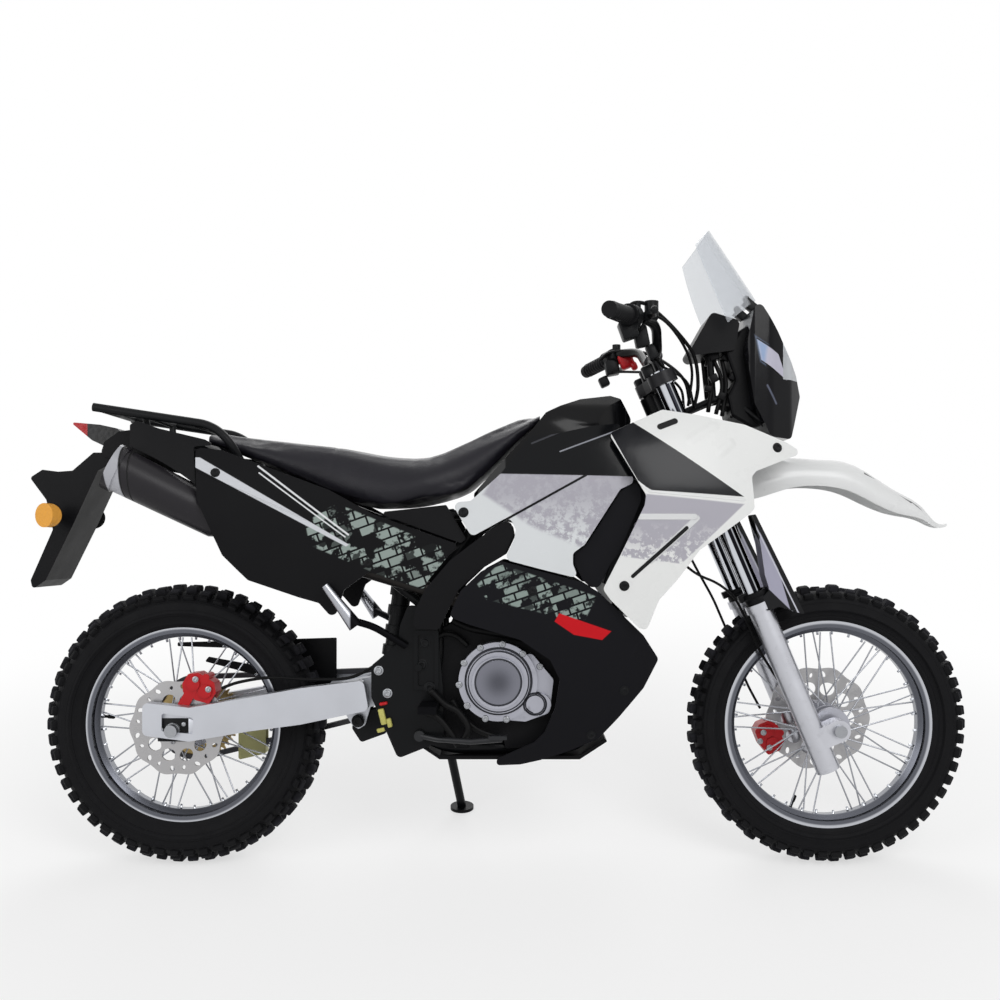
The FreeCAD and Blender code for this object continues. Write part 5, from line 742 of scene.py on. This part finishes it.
def lathe(bm, profile, centre, axis, count, ahead=None):
    """Turned shape: profile of (radius, along) pairs in millimetres round an axis through a centre."""
    axis = Vector(axis).normalized()
    ahead = Vector(ahead) if ahead else axis.orthogonal()
    ahead = (ahead - axis * ahead.dot(axis)).normalized()
    beside = axis.cross(ahead)
    centre = Vector(centre)
    rings = []
    for radius, along in profile:
        if radius <= 0:
            rings.append([bm.verts.new(place(*(centre + axis * along)))])
            continue
        ring = []
        for step in range(count):
            turn = 2 * math.pi * step / count
            point = centre + axis * along + ahead * (radius * math.cos(turn)) + beside * (radius * math.sin(turn))
            ring.append(bm.verts.new(place(*point)))
        rings.append(ring)
    for low, high in zip(rings, rings[1:]):
        for step in range(count):
            after = (step + 1) % count
            if len(low) == 1 and len(high) == 1:
                continue
            if len(low) == 1:
                bm.faces.new((low[0], high[after], high[step]))
            elif len(high) == 1:
                bm.faces.new((low[step], low[after], high[0]))
            else:
                bm.faces.new((low[step], low[after], high[after], high[step]))


def seen(u, v, y):
    """Point of the upright machine, y across it, that shows at a place of the 1000 square view."""
    far = (EYE_FAR + y) / LENS
    return Vector(((u - MIDDLE_U) * far + EYE_X, y, EYE_Z + (MIDDLE_V - v) * far))


def spline(points, steps):
    """Smooth run through points."""
    points = [Vector(point) for point in points]
    padded = [points[0] * 2 - points[1]] + points + [points[-1] * 2 - points[-2]]
    run = []
    for a, b, c, d in zip(padded, padded[1:], padded[2:], padded[3:]):
        for step in range(steps):
            t = step / steps
            run.append(0.5 * (2 * b + (c - a) * t + (2 * a - 5 * b + 4 * c - d) * t * t
                              + (3 * b - a - 3 * c + d) * t ** 3))
    run.append(points[-1])
    return run


def hose(bm, points, radius, count=12, steps=8):
    """Round tube along a smooth run."""
    run = spline(points, steps)
    rings = []
    normal = None
    for index, point in enumerate(run):
        tangent = (run[min(index + 1, len(run) - 1)] - run[max(index - 1, 0)]).normalized()
        normal = tangent.orthogonal() if normal is None else normal - tangent * normal.dot(tangent)
        normal.normalize()
        beside = tangent.cross(normal)
        rings.append([bm.verts.new(place(*(point + (normal * math.cos(2 * math.pi * k / count)
                                                    + beside * math.sin(2 * math.pi * k / count)) * radius)))
                      for k in range(count)])
    for low, high in zip(rings, rings[1:]):
        for k in range(count):
            after = (k + 1) % count
            bm.faces.new((low[k], low[after], high[after], high[k]))
    bm.faces.new(rings[0][::-1])
    bm.faces.new(rings[-1])


def block(bm, centre, size, turn):
    """Box about a centre, turned in the side view."""
    centre = Vector(centre)
    matrix = (Matrix.Translation(place(*centre)) @ TURN.to_4x4() @ Matrix.Rotation(math.radians(-turn), 4, "Y")
              @ Matrix.Diagonal((*(Vector(size) * MM), 1.0)))
    bmesh.ops.create_cube(bm, size=1.0, matrix=matrix)


def plate(bm, outline, near, far):
    """Flat plate: an outline of the side view between two distances across."""
    rings = [[bm.verts.new(place(x, y, z)) for x, z in outline] for y in (near, far)]
    bm.faces.new(rings[0])
    bm.faces.new(rings[1][::-1])
    for index in range(len(outline)):
        after = (index + 1) % len(outline)
        bm.faces.new((rings[0][index], rings[1][index], rings[1][after], rings[0][after]))


trees = {}
OUTSIDE = 900.0


def on_node(node, x, z, side=RIGHT):
    """Outermost point of a node at a place of the side view, in millimetres of the upright machine, and its normal."""
    if node not in trees:
        data = nodes[node].data
        trees[node] = BVHTree.FromPolygons([v.co.copy() for v in data.vertices],
                                           [tuple(p.vertices) for p in data.polygons])
    start = place(x, side * OUTSIDE, z)
    hit, normal, _, _ = trees[node].ray_cast(start, aim(0, -side, 0))
    if hit is None:
        return None
    back = TURN.inverted()
    return back @ (hit - SHIFT) / MM, back @ normal


HEAD = [(0.0, 0.45), (0.5, 0.45), (0.5, 1.0), (0.8, 1.0), (1.0, 0.7), (1.0, -0.6), (0.0, -0.6)]


def bolt_heads(name, slot, places, radius, height, washer, body="chassis", surface=None):
    """Socket-head bolts on washers: places are (node, x, z, side)."""
    bm = bmesh.new()
    for node, x, z, side in places:
        found = on_node(node, x, z, side)
        if found is None:
            print("bolt missed", node, x, z)
            continue
        point, normal = found
        if normal.y * side < 0:
            normal = -normal
        profile = [(r * radius, h * height) for r, h in HEAD]
        lathe(bm, profile[::-1], point, normal, 14)
        lathe(bm, [(0, -1.0), (radius * washer, -1.0), (radius * washer, 1.0), (0, 1.0)], point, normal, 20)
    piece(name, bm, slot, body, surface, bevel=0.0004)


def seen_places(node, y, *views):
    """Places for bolt_heads on the right side, from places of the view."""
    points = [seen(u, v, y) for u, v in views]
    return [(node, point.x, point.z, RIGHT) for point in points]


# Tyres

def lug(bm, wheel, turn, across, width, length, depth, crown, skew):
    """One tread block standing on the carcass, with a bevelled top."""
    ring = crown(across)
    angle = math.asin(across / 74.0)
    radial = Vector((math.cos(turn), 0, math.sin(turn)))
    along = Vector((-math.sin(turn), 0, math.cos(turn)))
    out = (radial * math.cos(angle) + Vector((0, 1, 0)) * math.sin(angle)).normalized()
    side = (Vector((0, 1, 0)) * math.cos(angle) - radial * math.sin(angle)).normalized()
    top = wheel + radial * ring + Vector((0, across, 0))
    taper = 0.84
    levels = ((-depth, 1.0), (-1.8, (1 + taper) / 2), (0.0, taper - 0.08))
    rings = []
    for height, size in levels:
        corners = []
        for a, b in ((-1, -1), (1, -1), (1, 1), (-1, 1)):
            point = top + out * height + side * (a * width / 2 * size) + along * (b * length / 2 * size + a * skew)
            corners.append(bm.verts.new(place(*point)))
        rings.append(corners)
    for low, high in zip(rings, rings[1:]):
        for i in range(4):
            j = (i + 1) % 4
            bm.faces.new((low[i], low[j], high[j], high[i]))
    bm.faces.new(rings[-1])


def knobby(key, half, rows, sizes):
    """Knobby tyre: carcass with a bead, sidewall ribs and rows of tread blocks."""
    wheel, rim_radius = AXLES[key], RIMS[key]
    crown_radius = 70.0

    def crown(across):
        return WHEEL - (crown_radius - math.sqrt(max(crown_radius ** 2 - across ** 2, 1.0)))

    depth = 15.0
    inner = half - 5.0
    profile = []
    for step in range(-9, 10):
        across = inner * step / 9
        profile.append((crown(across) - depth, across))
    flank = [(crown(inner) - depth - 10, inner + 2.5), (crown(inner) - depth - 20, inner + 2.0),
             (crown(inner) - depth - 22, inner + 3.2), (crown(inner) - depth - 25, inner + 3.2),
             (crown(inner) - depth - 27, inner + 1.6), (rim_radius + 22, inner - 3.0), (rim_radius + 10, inner - 9.0),
             (rim_radius + 7, inner - 9.0), (rim_radius + 3, inner - 12.0), (rim_radius - 3, inner - 15.0)]
    section = [(r, -a) for r, a in reversed(flank)] + profile + flank
    section.append((rim_radius + 6, 0.0))
    bm = bmesh.new()
    lathe(bm, section + section[:1], wheel, (0, 1, 0), 120, (1, 0, 0))
    bmesh.ops.remove_doubles(bm, verts=bm.verts, dist=1e-6)
    pitch = 2 * math.pi / rows
    for row in range(rows):
        turn = row * pitch
        for across, width, length, shift, skew in sizes:
            for side in (-1, 1):
                if across == 0 and side == 1:
                    continue
                lug(bm, wheel, turn + shift * pitch, side * across, width, length, depth + 1.5, crown, side * skew)
    piece(key + "_knobby_tyre", bm, "tyre", key + "_wheel", replaces=(key + "_tyre",), bevel=0.0008)


knobby("front", 52.0, 29,
       [(12.5, 21.0, 23.0, 0.0, 0.0), (33.5, 15.0, 23.0, 0.5, 1.5), (47.0, 10.0, 24.0, 0.0, 0.0),
        (47.0, 10.0, 20.0, 0.5, 0.0)])
knobby("rear", 58.5, 27,
       [(0.0, 36.0, 25.0, 0.0, 0.0), (22.0, 20.0, 25.0, 0.5, 1.5), (41.0, 15.0, 25.0, 0.0, 1.5),
        (53.5, 10.0, 25.0, 0.5, 0.0), (53.5, 10.0, 20.0, 0.0, 0.0)])


# Seat

def seat_piece():
    """Seat: the solid's form, swollen as padded vinyl, with its seams."""
    source = nodes["seat"]
    mesh = source.data.copy()
    obj = added("seat_cushion", mesh)
    bpy.context.view_layer.objects.active = obj
    remesh = obj.modifiers.new("remesh", "REMESH")
    remesh.mode = "VOXEL"
    remesh.voxel_size = 0.006
    apply_modifiers(obj)
    bm = bmesh.new()
    bm.from_mesh(obj.data)
    for _ in range(3):
        bmesh.ops.smooth_vert(bm, verts=bm.verts, factor=0.5, use_axis_x=True, use_axis_y=True, use_axis_z=True)
    bm.normal_update()
    for vert in bm.verts:
        vert.co -= vert.normal * 0.003
    bm.to_mesh(obj.data)
    bm.free()
    swell(obj, 0.006)
    stitch(obj)
    obj.data.materials.clear()
    obj.data.materials.append(seat_vinyl().done())
    obj.data.polygons.foreach_set("use_smooth", [True] * len(obj.data.polygons))
    sub = obj.modifiers.new("fine", "SUBSURF")
    sub.levels = 1
    sub.render_levels = 1
    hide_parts("seat")
    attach(obj, "chassis")


def apply_modifiers(obj):
    """Puts the modifiers' result in the mesh."""
    graph = bpy.context.evaluated_depsgraph_get()
    result = bpy.data.meshes.new_from_object(obj.evaluated_get(graph))
    obj.modifiers.clear()
    old = obj.data
    obj.data = result
    bpy.data.meshes.remove(old)


def swell(obj, most):
    """Short cloth run with pressure, and a limit on how far each point may go."""
    before = [v.co.copy() for v in obj.data.vertices]
    cloth = obj.modifiers.new("cloth", "CLOTH")
    cloth.settings.use_pressure = True
    cloth.settings.uniform_pressure_force = 4.0
    cloth.settings.mass = 0.2
    cloth.settings.quality = 4
    cloth.settings.effector_weights.gravity = 0
    cloth.point_cache.frame_end = 20
    for step in range(1, 21):
        bpy.context.scene.frame_set(step)
    apply_modifiers(obj)
    bpy.context.scene.frame_set(1)
    for vert, start in zip(obj.data.vertices, before):
        move = vert.co - start
        if move.length > most:
            vert.co = start + move.normalized() * most


def stitch(obj):
    """Sewn lines: along each upper edge and across where the pillion part begins."""
    back = TURN.inverted()
    data = obj.data
    for vert in data.vertices:
        point = back @ (vert.co - SHIFT) / MM
        if vert.normal.z < -0.35:
            continue
        side = (back @ vert.normal)
        cross = abs(point.x + 380.0 + 0.10 * abs(point.y))
        edge = abs(abs(side.y) - 0.62)
        depth = 0.0
        if cross < 6.0 and side.z > 0.3:
            depth += 1.6 * (1 - cross / 6.0)
        if edge < 0.10 and point.x > -690:
            depth += 0.9 * (1 - edge / 0.10)
        ripple = noise.noise(Vector((point.x * 0.012, point.y * 0.02, point.z * 0.02)))
        vert.co += vert.normal * (ripple * 0.0008 - depth * MM)


seat_piece()


# Fasteners

bolt_heads("shroud_bolts", "black_metal",
           [(f"shroud_{'right' if side < 0 else 'left'}", x, z, side) for side in BOTH
            for x, z in ((600, 955), (258, 652))], 8.5, 4.0, 1.3)
bolt_heads("cover_bolts", "black_metal",
           [("tank_cover_pair", -92, 812, side) for side in BOTH], 9.0, 4.0, 1.3)


# Wheel details

def wheel_details():
    """Spoke nipples and valve stems."""
    count = 36
    for key, rim_radius in RIMS.items():
        bm = bmesh.new()
        wheel = AXLES[key]
        for index in range(count):
            turn = 2 * math.pi * (index + 0.5) / count
            out = Vector((math.cos(turn), 0, math.sin(turn)))
            low = wheel + out * (rim_radius - 34)
            lathe(bm, [(0, 0), (3.0, 0), (3.0, 9), (4.2, 11), (4.2, 14), (0, 14)],
                  low + Vector((0, 5.5 * (-1) ** index, 0)), out, 8)
        piece(key + "_spoke_nipples", bm, "chrome", key + "_wheel")
        bm = bmesh.new()
        turn = math.radians(-112 if key == "front" else 176)
        out = Vector((math.cos(turn), 0, math.sin(turn)))
        low = wheel + out * (rim_radius - 20)
        lathe(bm, [(0, 0), (5.0, 0), (5.0, 6), (3.4, 8), (3.4, 20), (4.6, 21), (4.6, 34), (3.0, 36), (0, 36)],
              low, -out, 14)
        piece(key + "_valve", bm, "hose_rubber", key + "_wheel")


wheel_details()


def openwork_disc(key, radius, across, half, waves):
    """Brake disc cut right through: waved edge, slanted slots in the band, wide windows round the carrier."""
    curve = bpy.data.curves.new(key + "_disc_outline", "CURVE")
    curve.dimensions = "2D"
    curve.fill_mode = "BOTH"
    curve.extrude = half * MM

    def loop(points):
        run = curve.splines.new("POLY")
        run.points.add(len(points) - 1)
        for point, (x, z) in zip(run.points, points):
            point.co = (x * MM, z * MM, 0, 1)
        run.use_cyclic_u = True

    def oval(far, turn, long, wide, slant):
        centre = Vector((math.cos(turn), math.sin(turn))) * far
        along = Vector((math.cos(turn + slant), math.sin(turn + slant)))
        beside = Vector((-along.y, along.x))
        return [centre + along * long * math.cos(2 * math.pi * k / 20) + beside * wide * math.sin(2 * math.pi * k / 20)
                for k in range(20)]

    steps = 24 * waves
    loop([(radius * (0.975 + 0.025 * math.cos(waves * 2 * math.pi * k / steps)) * math.cos(2 * math.pi * k / steps),
           radius * (0.975 + 0.025 * math.cos(waves * 2 * math.pi * k / steps)) * math.sin(2 * math.pi * k / steps))
          for k in range(steps)])
    loop([(27.0 * math.cos(2 * math.pi * k / 48), 27.0 * math.sin(2 * math.pi * k / 48)) for k in range(48)])
    for k in range(waves):
        turn = 2 * math.pi * k / waves
        loop(oval(radius * 0.585, turn, radius * 0.125, radius * (1.45 / waves), 0.25))
        loop(oval(radius * 0.85, turn + 0.6 * math.pi / waves, radius * 0.062, 4.6, 0.7))
        loop(oval(radius * 0.83, turn + 1.5 * math.pi / waves, radius * 0.045, 3.6, -0.5))
    holder = added(key + "_disc_outline", curve)
    graph = bpy.context.evaluated_depsgraph_get()
    flat = bpy.data.meshes.new_from_object(holder.evaluated_get(graph))
    bm = bmesh.new()
    bm.from_mesh(flat)
    bpy.data.objects.remove(holder)
    bpy.data.curves.remove(curve)
    bpy.data.meshes.remove(flat)
    wheel = AXLES[key]
    for vert in bm.verts:
        x, z, y = vert.co / MM
        vert.co = place(wheel.x + x, across + y, wheel.z + z)
    bmesh.ops.remove_doubles(bm, verts=bm.verts, dist=1e-6)
    piece(key + "_openwork_disc", bm, "disc_steel", key + "_wheel",
          replaces=(key + "_disc",), smooth=False)
    bm = bmesh.new()
    side = 1 if across > 0 else -1
    for k in range(waves // 2):
        turn = 2 * math.pi * (k + 0.5) / (waves // 2)
        spot = Vector((wheel.x + 34.0 * math.cos(turn), across + side * half, wheel.z + 34.0 * math.sin(turn)))
        lathe(bm, [(0, 2.4), (2.4, 2.4), (2.4, 4.2), (5.0, 4.2), (5.4, 0.0), (0, 0.0)], spot, (0, side, 0), 12)
    piece(key + "_disc_bolts", bm, "steel", key + "_wheel")


openwork_disc("front", 125.0, 62.0, 2.0, 10)
openwork_disc("rear", 110.0, -77.0, 2.0, 10)


def fork_point(z, side):
    """Point of a fork leg's axis at a height."""
    return Vector((693.5 - (z - WHEEL) * math.tan(RAKE), side * 105.0, z))


FORK_UP = (-math.sin(RAKE), 0, math.cos(RAKE))


def fork_details():
    """Seal bands with cable clamps, and top caps."""
    bm = bmesh.new()
    for side in BOTH:
        lathe(bm, [(21, 13), (28.5, 13), (30, 11), (30, 3), (28.8, 2), (28.8, -2), (30, -3), (30, -12), (28.5, -14),
                   (21, -14)], fork_point(624, side), FORK_UP, 28)
        block(bm, fork_point(624, side) + Vector((-30, side * -4, -4)), (22, 18, 16), 23)
    piece("fork_bands", bm, "black_plastic", "steering", bevel=0.0006)
    bm = bmesh.new()
    for side in BOTH:
        lathe(bm, [(0, 15), (6, 15), (6, 9), (13, 9), (14, 8), (19, 7), (20.5, 5), (20.5, -3), (0, -3)],
              fork_point(1104, side), FORK_UP, 28)
    piece("fork_caps", bm, "chrome", "steering")


def arm_end_details():
    """Chain adjusters at the swingarm's ends, and the rear brake's hose, cylinder and switch."""
    bm = bmesh.new()
    pale = bmesh.new()
    dark = bmesh.new()
    for side in BOTH:
        found = on_node("swingarm", -700, 330, side)
        if not found:
            print("arm face missed", side)
            continue
        face = found[0].y
        out = face + side * 3.0
        plate(bm, [(-781, 351), (-713, 351), (-713, 299), (-781, 299)], face - side * 1.0, out)
        plate(pale, [(-712, 352), (-690, 342), (-672, 326), (-690, 309), (-712, 299)], face - side * 1.0, out)
        lathe(dark, [(0, 9), (5, 9), (5, 6), (12.5, 6), (14, 5), (14, 0), (18, 0), (18, -2), (0, -2)],
              (-HALF_BASE, out, WHEEL), (0, side, 0), 24)
        for x, z in ((-722, 338), (-722, 311), (-772, 325)):
            lathe(dark, [(0, 3.5), (4.5, 3.5), (5, 2.6), (5, -1), (0, -1)], (x, out, z), (0, side, 0), 12)
    for mesh, name, slot in ((bm, "adjuster_blocks", "black_metal"), (pale, "adjuster_plates", "aluminium"),
                             (dark, "axle_nuts", "steel")):
        piece(name, mesh, slot, "chassis", bevel=0.0008)
    bm = bmesh.new()
    hose(bm, [seen(222, 688, -104), seen(240, 682, -104), (-530, -100, 441), (-440, -96, 436), (-352, -92, 440),
              (-290, -88, 470)], 3.6)
    piece("rear_brake_hose", bm, "hose_rubber", "chassis")
    for name, slot, places in (
            ("brake_cylinder", "guide_plastic", ((383, 716, (13, 12, 36), 14), (390, 722, (10, 14, 20), 14),
                                                 (381, 730, (18, 10, 9), 14))),
            ("brake_switch", "red_metal", ((384, 703, (18, 12, 7), 10), (398, 641, (12, 10, 7), -40)))):
        bm = bmesh.new()
        for u, v, size, turn in places:
            spot = seen(u, v, -118)
            found = on_node("main_frame", spot.x, spot.z)
            if found:
                spot.y = found[0].y - size[1] / 2 + 1
            else:
                print("plate missed", name, u, v)
            block(bm, spot, size, turn)
        piece(name, bm, slot, "chassis", bevel=0.0025)


fork_details()
arm_end_details()
bolt_heads("rear_caliper_bolts", "steel", seen_places("rear_caliper", -105, (194, 680), (207, 690)), 5.0, 3.5, 1.4)
bolt_heads("front_caliper_bolts", "steel", seen_places("front_caliper", 30, (764, 733), (770, 748), (761, 742)),
           5.0, 3.5, 1.4, "steering")


# Bar area

def bar_area():
    """Hoses, switches and grip rings round the handlebar."""
    bm = bmesh.new()
    for radius, *points in (
            (4.2, (632, 325, -255), (630, 306, -262), (643, 303, -245), (658, 313, -205), (678, 333, -140),
             (694, 356, -84), (698, 385, -60), (694, 408, -48)),
            (3.2, (640, 330, -250), (650, 316, -240), (666, 322, -190), (684, 346, -120), (692, 372, -74),
             (688, 406, -52)),
            (4.0, (600, 360, 262), (612, 352, 240), (640, 352, 170), (664, 362, 100), (684, 380, 40), (690, 404, 20)),
            (3.2, (610, 372, 250), (632, 372, 180), (660, 374, 100), (680, 388, 46), (684, 408, 30)),
            (3.0, (652, 352, -110), (662, 366, -84), (674, 372, -60), (688, 384, -48), (694, 408, -40))):
        hose(bm, [seen(*point) for point in points], radius)
    piece("control_hoses", bm, "hose_rubber", "steering")
    bm = bmesh.new()
    for u, v, y, size, turn in ((628, 330, -262, (34, 44, 40), 20), (641, 337, -222, (30, 30, 44), 12),
                                (652, 352, -120, (22, 26, 34), 20), (612, 368, 262, (34, 44, 38), 10),
                                (604, 382, 276, (24, 30, 26), 25), (640, 386, 120, (20, 30, 34), 24),
                                (648, 372, -64, (26, 24, 30), 23), (646, 376, 64, (26, 24, 30), 23)):
        block(bm, seen(u, v, y), size, turn)
    piece("switch_boxes", bm, "black_metal", "steering", bevel=0.004)
    bm = bmesh.new()
    block(bm, seen(626, 361, 236), (36, 30, 40), 24)
    block(bm, seen(634, 366, 226), (16, 20, 22), 24)
    piece("red_switch", bm, "red_metal", "steering", bevel=0.006)
    bm = bmesh.new()
    for side in BOTH:
        for index in range(9):
            middle = 0.10 + index * 0.098
            inner, outer = Vector((236.0 + 28.0, side * 268.0, 1220.0)), Vector((212.4, side * 398.0, 1210.0))
            centre = outer.lerp(inner, middle)
            lathe(bm, [(17.0, -3.4), (18.2, -2.0), (18.2, 2.0), (17.0, 3.4)], centre, inner - outer, 24)
    piece("grip_rings", bm, "grip_rubber", "steering")


def instrument_area():
    """Loom, connectors and liner behind the instrument, and the brackets at the screen's foot."""
    bm = bmesh.new()
    for start, middle, end in (((704, 352), (712, 378), (708, 412)), ((712, 356), (722, 384), (716, 414)),
                               ((722, 360), (726, 386), (722, 416)), ((732, 352), (736, 384), (732, 418)),
                               ((742, 356), (744, 388), (744, 420))):
        hose(bm, [seen(*start, -34), seen(*middle, -40), seen(*end, -44)], 5.0)
        hose(bm, [seen(*start, 14), seen(*middle, 10), seen(*end, 4)], 5.0)
    piece("instrument_loom", bm, "hose_rubber", "chassis")
    bm = bmesh.new()
    rng = random.Random(4)
    for index in range(16):
        u = 706 + 44 * rng.random()
        v = 350 + 62 * rng.random()
        block(bm, seen(u, v, -52 + 34 * rng.random()), (10 + 12 * rng.random(), 16, 9 + 10 * rng.random()),
              -30 + 60 * rng.random())
    piece("loom_connectors", bm, "black_plastic", "chassis", bevel=0.0015)
    bm = bmesh.new()
    rim = [(726, 352), (740, 330), (757, 318), (766, 330), (768, 424), (752, 428), (732, 416), (728, 396), (736, 380)]
    plate(bm, [(point.x, point.z) for point in (seen(u, v, -62) for u, v in rim)], -62.0, 62.0)
    for u, v, width in ((733, 366, 96), (737, 398, 80), (746, 414, 104)):
        block(bm, seen(u, v, 0), (30, width, 22), 12)
    piece("nose_liner", bm, "black_plastic", "chassis", smooth=False, bevel=0.006)
    bm = bmesh.new()
    for side in BOTH:
        run = [seen(746, 299, -56), seen(757, 310, -56), seen(768, 324, -56), seen(778, 341, -56)]
        run = [Vector((point.x, side * 56.0, point.z)) for point in run]
        hose(bm, run, 6.5, 8, 4)
        block(bm, run[0] + Vector((10, 0, -16)), (34, 22, 20), -40)
        for point in run[:3]:
            lathe(bm, [(0, 7.0), (5.5, 7.0), (7.0, 5.0), (7.0, -6.0), (0, -6.0)], point, (0, side, 0), 12)
    piece("screen_brackets", bm, "black_metal", "chassis", bevel=0.0008)


def engine_area():
    """Black hoses, loom and inner cover between the engine and the frame, and the engine's fasteners."""
    bm = bmesh.new()
    for path, y, radius in (([(438, 612), (440, 650), (436, 690), (442, 738)], -96, 9.0),
                            ([(446, 618), (448, 660), (446, 700), (452, 736)], -84, 7.0),
                            ([(430, 690), (444, 704), (458, 712), (468, 728), (462, 742)], -142, 8.0),
                            ([(424, 712), (438, 718), (450, 732), (458, 746)], -150, 7.0),
                            ([(452, 700), (462, 716), (478, 730), (500, 738)], -120, 6.5),
                            ([(432, 640), (444, 634), (456, 636), (468, 646)], -110, 6.0),
                            ([(452, 620), (470, 628), (500, 634), (530, 640)], -104, 8.0)):
        hose(bm, [seen(u, v, y) for u, v in path], radius)
    piece("engine_hoses", bm, "hose_rubber", "chassis")
    bm = bmesh.new()
    rim = [(440, 628), (452, 622), (520, 636), (562, 652), (574, 690), (572, 744), (506, 749), (503, 740), (472, 740),
           (468, 748), (440, 748)]
    plate(bm, [(point.x, point.z) for point in (seen(u, v, -92) for u, v in rim)], -92.0, -40.0)
    piece("engine_inner_shield", bm, "black_plastic", "chassis", smooth=False, bevel=0.003)
    bm = bmesh.new()
    spots = [(497 + 38.5 * math.cos(math.radians(a)), 683 - 38.5 * math.sin(math.radians(a)))
             for a in (48, 82, 116, 150, 184, 218, 252, 284)] + [(540, 668)]
    for u, v in spots:
        point = seen(u, v, -150)
        found = on_node("engine_covers", point.x, point.z)
        if found:
            spot = found[0]
            lathe(bm, [(0, 5.6), (2.2, 5.6), (2.2, 7.4), (4.2, 7.4), (4.2, 3.0), (6.6, 3.0), (7.6, 2.0), (8.4, -4.0),
                       (0, -4.0)], spot, (0, -1, 0), 16)
        else:
            print("cover bolt missed", round(u), round(v))
    piece("engine_bolts", bm, "steel", "chassis", bevel=0.0003)


bar_area()
instrument_area()
engine_area()

bolt_heads("frame_bolts", "steel", seen_places("main_frame", -165, (423, 645), (420, 667), (428, 690)), 10.0, 5.0, 1.3,
           surface=SURFACES["black_metal"])
bolt_heads("pivot_bolts", "steel", seen_places("main_frame", -150, (377, 672), (386, 695)), 8.0, 5.0, 1.35)
bolt_heads("linkage_bolts", "black_metal", seen_places("swingarm", -70, (357, 722)), 12.0, 6.0, 1.25)
bolt_heads("panel_bolts", "black_metal",
           [("rear_panel_pair", -640, 900, side) for side in BOTH]
           + [("rear_panel_pair", -300, 700, side) for side in BOTH]
           + [("lower_fairing_pair", x, z, side) for side in BOTH
              for x, z in ((262, 420), (190, 320), (60, 640))], 7.5, 3.5, 1.4)


# Stage, light and camera

def stage():
    """Pale floor that keeps the shadow, white surroundings, soft lamps, and the camera."""
    bm = bmesh.new()
    bmesh.ops.create_grid(bm, x_segments=1, y_segments=1, size=30)
    mesh = bpy.data.meshes.new("floor")
    bm.to_mesh(mesh)
    bm.free()
    floor = added("floor", mesh)
    material = bpy.data.materials.new("floor")
    material.use_nodes = True
    graph = Graph(material.node_tree)
    diffuse = graph.node("ShaderNodeBsdfDiffuse", Color=(0.86, 0.86, 0.86, 1))
    white = graph.node("ShaderNodeEmission", Strength=1.0)
    where = graph.node("ShaderNodeTexCoord")
    length = graph.node("ShaderNodeVectorMath")
    length.operation = "LENGTH"
    graph.link(where.outputs["Object"], length.inputs[0])
    fade = graph.ramp(length.outputs["Value"], 1.0, 2.4, 0.62, 1.0, True)
    graph.mixed(graph.math("MULTIPLY", graph.viewed(), fade), diffuse, white, "ShaderNodeOutputMaterial")
    mesh.materials.append(material)

    world = bpy.data.worlds.new("studio")
    bpy.context.scene.world = world
    world.use_nodes = True
    graph = Graph(world.node_tree)
    soft, white = (graph.node("ShaderNodeBackground", Color=(1, 1, 1, 1), Strength=strength)
                   for strength in (0.42, 1.0))
    graph.mixed(graph.viewed(), soft, white, "ShaderNodeOutputWorld")

    for name, spot, size, power in (("key", (1.6, -3.2, 3.6), 2.4, 84), ("fill", (-2.8, -2.6, 2.2), 2.2, 36),
                                    ("rim", (0.0, 2.8, 3.0), 2.6, 60)):
        lamp = bpy.data.lights.new(name, "AREA")
        lamp.size = size
        lamp.energy = power
        obj = added(name, lamp)
        obj.location = spot
        obj.rotation_euler = (Vector((0, 0, 0.55)) - Vector(spot)).to_track_quat("-Z", "Y").to_euler()

    data = bpy.data.cameras.new("camera")
    data.lens = 39.85
    data.sensor_width = 36.0
    data.shift_x = -0.024
    data.shift_y = 0.043
    camera = added("camera", data)
    camera.location = place(EYE_X, -EYE_FAR, EYE_Z)
    right, up = aim(1, 0, 0), aim(0, 0, 1)
    camera.matrix_world = (Matrix.Translation(camera.location)
                           @ Matrix((right, up, right.cross(up))).transposed().to_4x4())
    bpy.context.scene.camera = camera


stage()

bpy.context.scene.view_settings.view_transform = "Standard"
